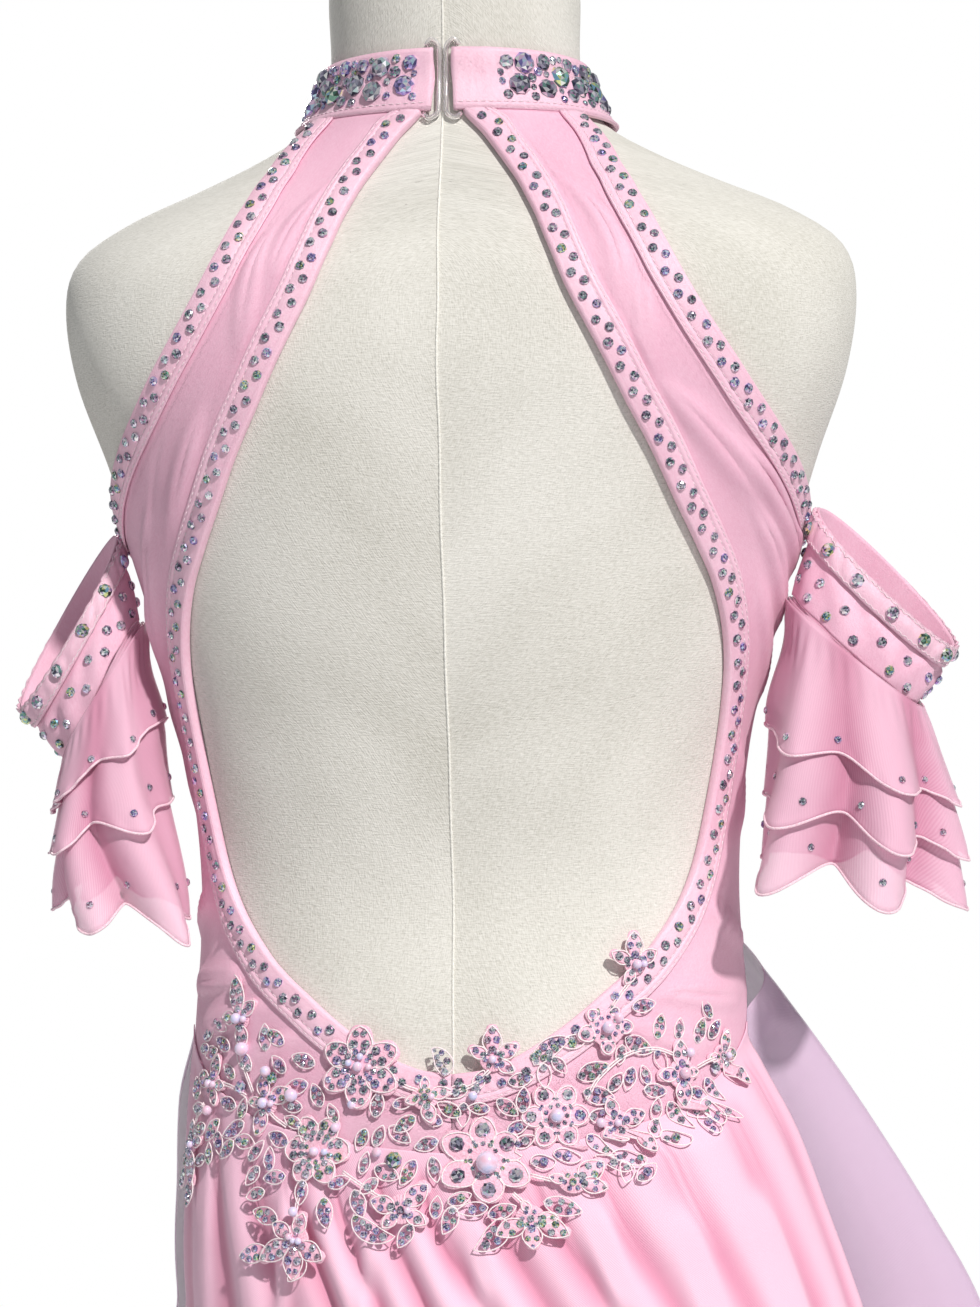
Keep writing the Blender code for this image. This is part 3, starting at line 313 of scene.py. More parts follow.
# Facet colours of the stones, one list for each kind: painted reflections in each stone's colours
FACET_TINTS_AND_REFLECTIONS = {
    "dark": [(0.05, 0.05, 0.08), (0.12, 0.12, 0.17), (0.3, 0.28, 0.36), (0.5, 0.47, 0.58),
             (0.78, 0.75, 0.84), (0.22, 0.44, 0.36), (0.54, 0.3, 0.46), (0.98, 0.96, 1)],
    "violet": [(0.12, 0.1, 0.26), (0.26, 0.22, 0.52), (0.44, 0.38, 0.74), (0.68, 0.62, 0.92),
               (0.08, 0.07, 0.16), (0.52, 0.74, 0.88), (0.84, 0.58, 0.78), (1, 0.97, 1)],
    "green": [(0.06, 0.18, 0.12), (0.3, 0.62, 0.42), (0.72, 0.8, 0.3), (0.8, 0.93, 0.78),
              (0.04, 0.07, 0.05), (0.52, 0.42, 0.66), (0.24, 0.5, 0.66), (0.95, 0.95, 0.85)],
    "clear": [(0.8, 0.8, 0.86), (0.46, 0.47, 0.55), (0.22, 0.22, 0.28), (0.92, 0.8, 0.86),
              (0.6, 0.84, 0.8), (0.1, 0.1, 0.14), (0.74, 0.66, 0.9), (0.96, 0.96, 0.97)],
    "pink": [(0.86, 0.5, 0.62), (0.62, 0.3, 0.42), (0.3, 0.14, 0.22), (0.95, 0.76, 0.84),
             (0.72, 0.62, 0.82), (0.96, 0.9, 0.94), (0.5, 0.46, 0.6), (0.16, 0.08, 0.12)],
}

# Corded stems between the motifs, as places, with the lift that each one needs.
Stem = namedtuple("Stem", "lift places")
STEMS = table(Stem, [
    (OVER_BINDING, [(-9, 0.913), (-6.5, 0.91), (-1.5, 0.9075), (3, 0.911), (6, 0.917)]),
    (OVER_SEAM, [(24, 0.904), (27, 0.913), (33, 0.9215), (40, 0.9235), (46, 0.92)]),
    (OVER_BINDING, [(30.5, 0.942), (33, 0.948), (35.6, 0.953)]),
    (OVER_SEAM, [(52, 0.914), (56, 0.916), (60, 0.917)]),
    (ON_CLOTH, [(11, 0.876), (14, 0.874), (16, 0.8735)]),
    (ON_CLOTH, [(-26, 0.872), (-27.4, 0.864), (-27.4, 0.856)]),
    (ON_CLOTH, [(-18.5, 0.877), (-14, 0.871), (-10.5, 0.866)]),
    (ON_CLOTH, [(-32, 0.893), (-35, 0.896), (-37, 0.899)]),
    (ON_CLOTH, [(-42, 0.906), (-46, 0.918), (-47.6, 0.928)]),
    (ON_CLOTH, [(-53, 0.908), (-49, 0.907), (-44, 0.904)]),
    (ON_CLOTH, [(-59.5, 0.899), (-62, 0.892), (-63.5, 0.885)]),
    (ON_CLOTH, [(8.2, 0.869), (9.6, 0.865), (10.4, 0.861)]),
])

# Small corded leaves and crescents between the motifs: where each starts, the way it points, its
# length in millimetres, and how far it bends on its way.
Leaf = namedtuple("Leaf", "angle height heading length bend")
LEAVES = table(Leaf, [
    (-1, 0.915, 118, 14, 75), (2.4, 0.9105, 205, 10, 0), (9.2, 0.912, 12, 11, 0),
    (7.2, 0.9052, -38, 11, 0), (14, 0.919, 32, 20, -55), (22.5, 0.9135, 18, 15, 0),
    (23.6, 0.9075, -14, 14, 10), (24.5, 0.8975, -4, 12, 0), (24, 0.89, -48, 11, 0),
    (12.4, 0.88, 4, 10, 0), (12.6, 0.8655, -20, 14, 0), (6.4, 0.8595, 232, 17, -70),
    (0.2, 0.864, 250, 12, -30), (-1.2, 0.896, 160, 10, 0), (-1.8, 0.889, 196, 11, 0),
    (-5.6, 0.8985, 214, 11, 0), (-10.2, 0.8945, -36, 11, 0), (-9.6, 0.903, 12, 9, 0),
    (-14.6, 0.8935, 250, 10, 0), (-12.6, 0.8785, -20, 11, 0), (-16, 0.87, -70, 12, 0),
    (-15.8, 0.86, -24, 20, 75), (-21.8, 0.8665, -78, 13, 20), (-24.6, 0.841, 232, 12, 0),
    (-31.4, 0.856, 168, 13, 0), (-33.4, 0.844, 198, 15, -20), (-30.6, 0.874, 190, 11, 0),
    (-31.2, 0.886, 160, 11, 0), (-28.4, 0.901, 176, 10, 0), (-26, 0.919, 164, 12, 0),
    (-27.4, 0.911, 196, 12, 0), (-33.2, 0.915, 136, 10, 0), (-34, 0.927, 150, 11, 0),
    (-39, 0.9235, 96, 12, 0), (-43, 0.915, 140, 12, 0), (-43.8, 0.893, 210, 12, 0),
    (-47, 0.899, 170, 11, 0), (-51, 0.923, 160, 11, 0), (-52, 0.8935, 234, 12, 0),
    (-57, 0.89, 206, 11, 0), (-63, 0.9, 130, 11, 0), (-60.6, 0.8665, 250, 14, 10),
    (-66, 0.869, 232, 12, 0), (24.4, 0.929, 190, 11, 0), (33.4, 0.929, -28, 14, 20),
    (35.2, 0.941, 8, 11, 0), (41.2, 0.9275, 74, 11, 0), (37, 0.907, -10, 11, 0),
    (43, 0.901, -64, 12, 0), (52.5, 0.924, 62, 12, 0), (57, 0.9255, 40, 11, 0),
    (54.5, 0.909, -60, 11, 0),
])
# Single set stones between them: the angle, the height, the radius and the kind
SET_STONES = [
    (-9.2, 0.8812, 0.0037, "green"),
    (-46, 0.9075, 0.003, "violet"),
    (58.5, 0.9125, 0.0028, "clear"),
    (-36.6, 0.9125, 0.0027, "green"),
]
# Single pearls: the angle, the height and the radius
SET_PEARLS = [
    (-30.8, 0.9058, 0.0029), (-38, 0.915, 0.0024), (-12.2, 0.8842, 0.0021),
    (-45.6, 0.9236, 0.003), (-27.8, 0.8602, 0.0021), (-20.6, 0.8935, 0.002),
    (31.6, 0.9372, 0.0022), (3.2, 0.9068, 0.002), (26.8, 0.8945, 0.0021),
    (-56.6, 0.8965, 0.0022), (49.8, 0.9205, 0.0021), (-17.4, 0.903, 0.002),
]

# The camera, which stands where the photograph was taken from
CAMERA_TURN = 5.0
CAMERA_ROLL = -1.0
PIXEL = 0.00042             # at the distance below
CAMERA_DISTANCE = 1.25
CAMERA_BACK = 0.10
PICTURE_WIDE, PICTURE_HIGH = 980, 1307
AXIS_PIXEL = 466
CAMERA_HEIGHT = 1.094

# Where the key light stands: to the right of the centre back, and above the floor, in degrees
KEY_TURN = 34.0
KEY_RISE = 42.0

RANDOM = np.random.default_rng(20)


# Curves through the tables


def hermite(t, start, end, slope_in, slope_out, width=1.0):
    return (
        (2 * t**3 - 3 * t**2 + 1) * start
        + (t**3 - 2 * t**2 + t) * slope_in * width
        + (3 * t**2 - 2 * t**3) * end
        + (t**3 - t**2) * slope_out * width
    )


def curve_through(keys, values):
    """A smooth function through these values, the same as in the solids."""
    keys, values = np.asarray(keys, float), np.asarray(values, float)
    if keys[0] > keys[-1]:
        keys, values = keys[::-1], values[::-1]
    high = np.minimum(np.arange(len(keys)) + 1, len(keys) - 1)
    low = np.maximum(np.arange(len(keys)) - 1, 0)
    slopes = (values[high] - values[low]) / (keys[high] - keys[low])

    def at(x):
        x = np.clip(x, keys[0], keys[-1])
        i = np.searchsorted(keys[1:-1], x, side="left")
        width = keys[i + 1] - keys[i]
        t = (x - keys[i]) / width
        return hermite(t, values[i], values[i + 1], slopes[i], slopes[i + 1], width)

    return at


def columns_of(rows, key):
    """A smooth function of the key for every other column of a table."""
    keys = [getattr(row, key) for row in rows]
    return {
        name: curve_through(keys, [getattr(row, name) for row in rows])
        for name in rows[0]._fields
        if name != key
    }


FORM = columns_of(FORM_SECTIONS, "height")
SKIRT = columns_of(SKIRT_SECTIONS, "height")
FOLDS = columns_of(BACK_FOLDS, "top_angle")


def ease(t):
    t = np.clip(t, 0.0, 1.0)
    return t * t * (3 - 2 * t)


def mix(a, b, t):
    return a + (b - a) * t


def unit(v):
    return v / np.maximum(np.linalg.norm(v, axis=-1, keepdims=True), 1e-12)


def refined(values, factor, axis):
    """The values with a smooth curve through them along one axis, with factor steps for each one."""
    values = np.moveaxis(np.asarray(values, float), axis, 0)
    n = len(values)
    at = np.arange((n - 1) * factor + 1) / factor
    i = np.minimum(at.astype(int), n - 2)
    t = (at - i).reshape((-1,) + (1,) * (values.ndim - 1))
    slopes = np.gradient(values, axis=0)
    out = hermite(t, values[i], values[i + 1], slopes[i], slopes[i + 1])
    return np.moveaxis(out, 0, axis)


def bell(x):
    return np.exp(-(x**2))


def circle(count, shift=0.0):
    """Even turns round a circle, in radians."""
    return 2 * np.pi * (np.arange(count) + shift) / count


def degrees_round(count, rows):
    """A grid of even turns round a circle, in degrees, and of these values down it."""
    return np.meshgrid(360.0 * np.arange(count) / count, rows)


def off_by(angle, middle=0.0):
    """How far an angle lies from another one, from -180 to 180 degrees."""
    return (angle - middle + 180.0) % 360.0 - 180.0


def heading_of(degrees):
    return math.cos(math.radians(degrees)), math.sin(math.radians(degrees))


def run_along(line):
    """How far along a line each of its points lies."""
    return np.concatenate([[0.0], np.cumsum(np.linalg.norm(np.diff(line, axis=0), axis=1))])


def points_at(at, run, line):
    return np.stack([np.interp(at, run, line[:, k]) for k in range(3)], axis=-1)


# The body's surface


def oval_point(angle, height, half_width, depth, power):
    s, c = np.sin(np.radians(angle)), np.cos(np.radians(angle))
    x = half_width * np.sign(s) * np.abs(s) ** (2 / power)
    y = -depth * np.sign(c) * np.abs(c) ** (2 / power)
    return np.stack(np.broadcast_arrays(x, y, height), axis=-1)


def form_surface(angle, height):
    angle, height = np.broadcast_arrays(np.asarray(angle, float), np.asarray(height, float))
    behind = np.cos(np.radians(angle)) > 0
    depth = np.where(behind, FORM["back"](height), FORM["front"](height))
    return oval_point(angle, height, FORM["half_width"](height), depth, FORM["power"](height))


def surface_slopes(angle, height):
    turn, rise = 0.05, 0.0008
    height = np.asarray(height, float)
    low, high = np.maximum(height - rise, FORM_BOTTOM), np.minimum(height + rise, FORM_TOP)
    across = (form_surface(angle + turn, height) - form_surface(angle - turn, height)) / (2 * turn)
    up = (form_surface(angle, high) - form_surface(angle, low)) / (high - low)[..., None]
    return across, up


def body_point(angle, height, out):
    across, up = surface_slopes(angle, height)
    return form_surface(angle, height) + unit(np.cross(across, up)) * np.asarray(out)[..., None]


def step_on_surface(place, direction, distance):
    across, up = surface_slopes(place.angle, place.height)
    aa, uu, au = across @ across, up @ up, across @ up
    da, du = across @ direction, up @ direction
    scale = distance / (aa * uu - au * au)
    return Place(place.angle + (da * uu - du * au) * scale, place.height + (du * aa - da * au) * scale)


def waist_height(angle):
    turned = np.abs(off_by(np.asarray(angle, float)))
    return np.interp(turned, *np.transpose(WAIST_SEAM))


# Making meshes


def mesh_of(name, points, faces, smooth=True):
    mesh = bpy.data.meshes.new(name)
    mesh.from_pydata(np.asarray(points).tolist(), [], [list(map(int, face)) for face in faces])
    if smooth:
        mesh.shade_smooth()
    return mesh


def add(name, mesh, look, nodes=(), wall=0.0, offset=1.0):
    """A piece of the scene, on the one body, with its material."""
    obj = bpy.data.objects.new(name, mesh)
    obj.data.materials.append(look)
    bpy.context.scene.collection.objects.link(obj)
    if wall:
        solid = obj.modifiers.new("cloth", "SOLIDIFY")
        solid.thickness = wall
        solid.offset = offset
    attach(obj, "root")
    if nodes:
        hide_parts(*nodes)
    return obj


def ring_closed(grid):
    """A grid that goes all the way round, with its first column again at its end."""
    return np.concatenate([grid, grid[:, :1]], axis=1)


def grid_mesh(name, grid, closed=False, flip=False, capped=False):
    """A mesh of a grid of points, with a UV map in metres along its rows and columns."""
    rows, columns = grid.shape[:2]
    index = np.arange(rows * columns).reshape(rows, columns)
    here = index if closed else index[:, :-1]
    there = np.roll(index, -1, axis=1) if closed else index[:, 1:]
    quads = np.stack([here[:-1], there[:-1], there[1:], here[1:]], axis=-1)
    points = ring_closed(grid) if closed else grid
    uv = np.zeros((*points.shape[:2], 2))
    uv[:, 1:, 0] = np.cumsum(np.linalg.norm(np.diff(points, axis=1), axis=-1), axis=1)
    uv[..., 0] -= uv[:, uv.shape[1] // 2, None, 0]
    uv[1:, :, 1] = np.cumsum(np.linalg.norm(np.diff(points, axis=0), axis=-1), axis=0)
    corners = np.stack([uv[:-1, :-1], uv[:-1, 1:], uv[1:, 1:], uv[1:, :-1]], axis=-2)
    if flip:
        quads, corners = quads[..., ::-1], corners[..., ::-1, :]
    faces, corners = quads.reshape(-1, 4).tolist(), corners.reshape(-1, 2)
    if capped:
        faces += [index[0, ::-1].tolist(), index[-1].tolist()]
        corners = np.concatenate([corners, grid[0, ::-1, :2], grid[-1, :, :2]])
    mesh = mesh_of(name, grid.reshape(-1, 3), faces)
    layer = mesh.uv_layers.new(name="cloth")
    layer.data.foreach_set("uv", corners.reshape(-1).astype(np.float32))
    return mesh


def shade_folds(mesh, depth):
    """Keeps how deep each point lies in its fold, from 0 in the valley to 1 on the crest, as painted
    shade.
    """
    layer = mesh.color_attributes.new("painted_fold_shade", "FLOAT_COLOR", "POINT")
    flat = np.clip(np.asarray(depth, float), 0.0, 1.0).reshape(-1, 1)
    layer.data.foreach_set("color", np.repeat(flat, 4, axis=1).astype(np.float32).reshape(-1))


def grid_normals(grid, closed=False, flip=False):
    if closed:
        across = np.roll(grid, -1, axis=1) - np.roll(grid, 1, axis=1)
    else:
        across = np.gradient(grid, axis=1)
    normals = unit(np.cross(across, np.gradient(grid, axis=0)))
    return -normals if flip else normals


def sample(grid, row, column):
    """The value of a grid at a fractional row and column."""
    row = np.clip(row, 0, grid.shape[0] - 1.001)
    column = np.clip(column, 0, grid.shape[1] - 1.001)
    i, j = int(row), int(column)
    a, b = row - i, column - j
    low = mix(grid[i, j], grid[i, j + 1], b)
    return mix(low, mix(grid[i + 1, j], grid[i + 1, j + 1], b), a)


def tube(points, ups, radius, sides=6, closed=False):
    """Points and faces of a tube along a path; ups point away from what it lies on."""
    points, ups = np.asarray(points, float), np.asarray(ups, float)
    if closed:
        run = unit(np.roll(points, -1, axis=0) - np.roll(points, 1, axis=0))
    else:
        run = unit(np.gradient(points, axis=0))
    side = unit(np.cross(run, ups))
    up = np.cross(side, run)
    turns = circle(sides)
    radius = np.broadcast_to(np.asarray(radius, float), (len(points),))[:, None, None]
    ring = side[:, None] * np.cos(turns)[None, :, None] + up[:, None] * np.sin(turns)[None, :, None]
    shell = (points[:, None] + ring * radius).reshape(-1, 3)
    faces = []
    count = len(points)
    for i in range(count if closed else count - 1):
        n = (i + 1) % count
        for k in range(sides):
            m = (k + 1) % sides
            faces.append([i * sides + k, i * sides + m, n * sides + m, n * sides + k])
    if not closed:
        faces.append(list(range(sides))[::-1])
        faces.append([(count - 1) * sides + k for k in range(sides)])
    return shell, faces


def band_faces(a, b, count):
    """Faces between two rings of points, which start at a and at b."""
    return [[a + k, b + k, b + (k + 1) % count, a + (k + 1) % count] for k in range(count)]


def add_tubes(name, parts, look, nodes=()):
    """Tubes or beads, each given as its points and faces, as one piece."""
    points, faces, start = [], [], 0
    for shell, some in parts:
        points.append(shell)
        faces += [[start + i for i in face] for face in some]
        start += len(shell)
    return add(name, mesh_of(name, np.concatenate(points), faces), look, nodes)


def rounded(profile, radius, steps=3):
    """The profile with each inner corner rounded."""
    out = [profile[0]]
    for before, corner, after in zip(profile, profile[1:], profile[2:]):
        a, b, c = (np.array(p, float) for p in (before, corner, after))
        near = min(radius, np.linalg.norm(a - b) * 0.45, np.linalg.norm(c - b) * 0.45)
        start, stop = b + unit(a - b) * near, b + unit(c - b) * near
        for k in range(steps + 1):
            t = k / steps
            out.append(tuple((1 - t) ** 2 * start + 2 * t * (1 - t) * b + t * t * stop))
    out.append(profile[-1])
    return out


# Materials


class Look:
    """A material: its nodes, its shader, and where on the piece its textures lie."""

    def __init__(self, name, coordinates="Object"):
        self.material = bpy.data.materials.new(name)
        self.material.use_nodes = True
        self.nodes, self.links = self.material.node_tree.nodes, self.material.node_tree.links
        self.shader = self.nodes["Principled BSDF"]
        self.where = self.nodes.new("ShaderNodeTexCoord").outputs[coordinates]
        self.normal = None

    def node(self, kind, **settings):
        """A new node; a setting's name is its socket's, with an underscore for each space."""
        node = self.nodes.new("ShaderNode" + kind)
        for name, value in settings.items():
            socket = node.inputs[name.replace("_", " ")]
            if isinstance(value, bpy.types.NodeSocket):
                self.links.new(value, socket)
            else:
                socket.default_value = value
        return node

    def value(self, operation, a, b):
        node = self.nodes.new("ShaderNodeMath")
        node.operation = operation
        for socket, value in zip(node.inputs, (a, b)):
            if isinstance(value, (int, float)):
                socket.default_value = value
            else:
                self.links.new(value, socket)
        return node.outputs[0]

    def weighted(self, *terms, plus=None):
        """The sum of textures, each given with its weight."""
        values = [self.value("MULTIPLY", *term) for term in terms] + [plus] * (plus is not None)
        total = values[0]
        for value in values[1:]:
            total = self.value("ADD", total, value)
        return total

    def noise(self, scale, detail=2.0, roughness=0.5):
        scale = scale if isinstance(scale, tuple) else (scale, scale, scale)
        place = self.node("Mapping", Vector=self.where, Scale=scale).outputs[0]
        return self.node("TexNoise", Vector=place, Scale=1.0, Detail=detail,
                         Roughness=roughness).outputs["Fac"]

    def ribs(self, per_metre, turn):
        """Fine even lines across the cloth."""
        place = self.node("Mapping", Vector=self.where, Rotation=(0.0, 0.0, math.radians(turn)),
                          Scale=(per_metre, per_metre, 1.0)).outputs[0]
        wave = self.node("TexWave", Vector=place, Scale=0.3183, Distortion=0.6, Detail=1.0)
        wave.wave_type = "BANDS"
        return wave.outputs["Fac"]

    def ramp(self, fac, *stops):
        node = self.node("ValToRGB", Fac=fac)
        while len(node.color_ramp.elements) < len(stops):
            node.color_ramp.elements.new(0.5)
        for element, (at, colour) in zip(node.color_ramp.elements, stops):
            element.position = at
            element.color = (*colour, 1.0)
        return node.outputs["Color"]

    def colour(self, fac, *stops):
        self.links.new(self.ramp(fac, *stops), self.shader.inputs["Base Color"])

    def rough(self, texture, weight, plus):
        self.links.new(self.weighted((texture, weight), plus=plus), self.shader.inputs["Roughness"])

    def bump(self, height, depth):
        node = self.node("Bump", Strength=1.0, Distance=depth, Height=height)
        if self.normal is not None:
            self.links.new(self.normal, node.inputs["Normal"])
        self.normal = node.outputs["Normal"]
        self.links.new(self.normal, self.shader.inputs["Normal"])

    def made(self, **constants):
        """The material, with these values on its shader's other sockets."""
        for name, value in constants.items():
            self.shader.inputs[name.replace("_", " ")].default_value = value
        return self.material


def canvas_look():
    """Off-white cotton canvas: a fine close weave with thick threads here and there, and lint."""
    look = Look("canvas_linen", "UV")
    threads = look.value("ADD", look.noise((1500.0, 380.0, 1.0)), look.noise((380.0, 1500.0, 1.0)))
    slubs = look.noise((110.0, 900.0, 1.0), 1.0)
    lint = look.noise((330.0, 330.0, 1.0), 3.0, 0.6)
    stain = look.noise((11.0, 8.0, 1.0), 3.0)
    look.colour(look.weighted((threads, 0.30), (stain, 0.40)), (0.36, (0.56, 0.545, 0.49)),
                (0.50, (0.71, 0.695, 0.645)), (0.64, (0.83, 0.815, 0.77)))
    look.rough(threads, 0.10, 0.80)
    look.bump(threads, 0.00028)
    look.bump(slubs, 0.00010)
    look.bump(look.value("GREATER_THAN", lint, 0.715), 0.00030)
    return look.made(Sheen_Weight=0.15, Sheen_Roughness=0.6, Specular_IOR_Level=0.2)


def satin_look(name, deep, lit, roughness):
    """Stretch satin: a fine knit with a soft, slightly grainy sheen."""
    look = Look(name, "UV")
    wales = look.ribs(2300.0, 0.0)
    grain = look.noise((2100.0, 1500.0, 1.0))
    cloud = look.noise((38.0, 16.0, 1.0), 3.0)
    flecks = look.noise((900.0, 420.0, 1.0), 2.0, 0.6)
    look.colour(look.weighted((grain, 0.25), (cloud, 0.40), (flecks, 0.35)), (0.32, deep), (0.70, lit))
    look.rough(flecks, 0.26, roughness)
    look.bump(wales, 0.00006)
    look.bump(grain, 0.00022)
    return look.made(Sheen_Weight=0.20, Sheen_Roughness=0.35, Sheen_Tint=(1.0, 0.88, 0.94, 1.0),
                     Specular_IOR_Level=0.60, Anisotropic=0.35)


def mesh_look(name, deep, lit, alpha, turn):
    """Sheer knitted mesh: fine ribs, painted shade in the valleys of its folds, where layers lie
    close.
    """
    look = Look(name, "UV")
    weave = look.weighted((look.ribs(1100.0, turn), 0.75), (look.ribs(2200.0, turn + 90.0), 0.25))
    cloud = look.noise((30.0, 12.0, 1.0), 3.0)
    # The attribute is painted shade: 0 in the valleys of the folds, 1 on their crests.
    painted_fold_shade = look.node("Attribute")
    painted_fold_shade.attribute_name = "painted_fold_shade"
    tone = look.weighted((weave, 0.20), (cloud, 0.25), (painted_fold_shade.outputs["Fac"], 0.55))
    look.colour(tone, (0.15, deep), (0.62, lit))
    look.rough(cloud, 0.2, 0.45)
    look.bump(weave, 0.00009)
    return look.made(Alpha=alpha, Sheen_Weight=0.2, Sheen_Roughness=0.4, Specular_IOR_Level=0.35)


def thread_look(name, deep, lit, rough):
    """Shiny embroidery thread or cord, twisted."""
    look = Look(name)
    twist = look.noise(1400.0)
    look.colour(twist, (0.3, deep), (0.65, lit))
    look.rough(twist, 0.2, rough)
    look.bump(twist, 0.0003)
    return look.made(Sheen_Weight=0.3)


def crystal_look():
    """Cut glass with a mirror back; each facet has its own colour, a painted reflection."""
    look = Look("crystal")
    facet = look.node("Attribute")
    facet.attribute_name = "facet"
    tint = look.ramp(look.noise(900.0, 1.0), (0.35, (0.30, 0.42, 0.62)), (0.65, (0.85, 0.62, 0.80)))
    shade = look.node("Mix")
    shade.data_type = "RGBA"
    shade.blend_type = "OVERLAY"
    shade.inputs["Factor"].default_value = 0.25
    look.links.new(facet.outputs["Color"], shade.inputs["A"])
    look.links.new(tint, shade.inputs["B"])
    look.links.new(shade.outputs["Result"], look.shader.inputs["Base Color"])
    return look.made(Metallic=0.75, Roughness=0.07, Coat_Weight=1.0, Coat_Roughness=0.02)


def pearl_look():
    look = Look("pearl")
    cloud = look.noise(160.0)
    look.colour(cloud, (0.36, (0.84, 0.52, 0.66)), (0.52, (0.84, 0.66, 0.86)),
                (0.66, (0.62, 0.64, 0.92)))
    look.rough(cloud, 0.12, 0.16)
    return look.made(Coat_Weight=0.7, Coat_Roughness=0.06, Sheen_Weight=0.4)


def plastic_look():
    look = Look("clear_plastic_moulded")
    haze = look.noise(300.0)
    look.colour(haze, (0.3, (0.90, 0.86, 0.87)), (0.7, (0.98, 0.95, 0.96)))
    look.rough(haze, 0.10, 0.02)
    look.bump(haze, 0.0002)
    return look.made(Transmission_Weight=0.85, IOR=1.49)


def metal_look():
    look = Look("powder_coated_metal")
    grain, wear = look.noise(900.0, 3.0), look.noise(22.0, 4.0)
    look.colour(wear, (0.35, (0.018, 0.018, 0.020)), (0.70, (0.040, 0.040, 0.044)))
    look.rough(wear, 0.25, 0.30)
    look.bump(grain, 0.0002)
    return look.made(Metallic=0.3)


def floor_look():
    look = Look("pale_floor")
    look.colour(look.noise(3.0), (0.3, (0.7372, 0.7372, 0.7372)), (0.7, (0.76, 0.76, 0.76)))
    return look.made(Roughness=0.7)


CANVAS = canvas_look()
SATIN = satin_look("stretch_satin_panel", (0.86, 0.44, 0.60), (0.97, 0.62, 0.77), 0.32)
SATIN_EDGE = satin_look("stretch_satin_binding", (0.90, 0.50, 0.65), (0.98, 0.68, 0.81), 0.30)
SKIRT_MESH = mesh_look("skirt_mesh_double", (0.74, 0.26, 0.41), (0.97, 0.60, 0.76), 0.94, 28.0)
# The front panel's lilac is one sheer layer of the pink mesh, partly painted shade: darker and cooler
# than the back's pink.
LILAC_MESH = mesh_look("skirt_mesh_single_shaded", (0.60, 0.41, 0.61), (0.80, 0.61, 0.80), 0.55, 28.0)
FLOUNCE_MESH = mesh_look("flounce_mesh", (0.74, 0.30, 0.46), (0.95, 0.59, 0.75), 0.62, 40.0)
HEM_THREAD = thread_look("rolled_hem_thread", (0.84, 0.50, 0.62), (0.97, 0.76, 0.84), 0.45)
SEW_THREAD = thread_look("sewing_thread", (0.86, 0.60, 0.70), (1.0, 0.88, 0.93), 0.40)
FORM_THREAD = thread_look("form_thread", (0.74, 0.72, 0.66), (0.92, 0.91, 0.86), 0.70)
CORD = thread_look("lace_cord", (0.86, 0.64, 0.70), (1.0, 0.92, 0.94), 0.40)
NET = thread_look("lace_net", (0.86, 0.42, 0.56), (0.97, 0.61, 0.74), 0.50)
CRYSTAL = crystal_look()
PEARL = pearl_look()
PLASTIC = plastic_look()
METAL = metal_look()


# The dress form


GROOVE_DEPTH, GROOVE_MIDDLE, GROOVE_HALF = 0.00035, 0.0011, 0.0006  # beside the back's seam
METRES_PER_DEGREE = 0.0017  # across the middle of the back
NECK_EDGE = 1.396           # from where the form's top is rounded


def form_body():
    heights = [FORM_BOTTOM, FORM_BOTTOM + 0.002]
    heights += list(np.linspace(FORM_BOTTOM + 0.010, NECK_EDGE, 150))
    heights += [1.3995, 1.4020, 1.4038, FORM_TOP]
    turn, height = degrees_round(144, heights)
    beside = np.abs(off_by(turn)) * METRES_PER_DEGREE
    groove = -GROOVE_DEPTH * bell((beside - GROOVE_MIDDLE) / GROOVE_HALF)
    grid = body_point(turn, np.clip(height, FORM_BOTTOM, FORM_TOP - 0.0001), groove)
    grid[0], grid[-1] = form_surface(turn[0], height[0]), form_surface(turn[-1], height[-1])
    mesh = grid_mesh("form_body", grid, closed=True, capped=True)
    add("form_body", mesh, CANVAS, ["dress_form_torso"])


SEAM_RADIUS, SEAM_SWELL, SEAM_STITCH = 0.00054, 0.00007, 0.0030


def form_seam():
    """The sewn seam down the middle of the back: a thin ridge with its stitches."""
    heights = np.arange(FORM_BOTTOM + 0.004, NECK_EDGE, 0.0008)
    angle = np.degrees(0.00005 * np.sin(heights * 97.0) / 0.09)
    path = body_point(angle, heights, 0.00012)
    ups = body_point(angle, heights, 0.01) - path
    swell = SEAM_RADIUS + SEAM_SWELL * np.sin(heights * 2 * np.pi / SEAM_STITCH)
    add_tubes("form_seam", [tube(path, ups, swell)], FORM_THREAD)


AXIS = 0.0005               # the radius at which a turned piece closes


def add_turned(name, node, profile, steps, corner, corner_steps=3):
    """A closed solid turned about Z from a profile of (radius, height), top to bottom."""
    profile = [(AXIS, profile[0][1])] + profile + [(AXIS, profile[-1][1])]
    profile = np.asarray(rounded(profile, corner, corner_steps), float)
    turns = circle(steps)
    rings = np.stack([
        profile[:, None, 0] * np.cos(turns), profile[:, None, 0] * np.sin(turns),
        np.broadcast_to(profile[:, None, 1], (len(profile), steps)),
    ], axis=-1)
    faces = []
    for start in range(0, (len(profile) - 1) * steps, steps):
        faces += band_faces(start, start + steps, steps)
    faces.append(list(range(steps)))
    faces.append([(len(profile) - 1) * steps + k for k in range(steps)][::-1])
    mesh = mesh_of(name, rings.reshape(-1, 3), faces)
    add(name, mesh, METAL, [node])


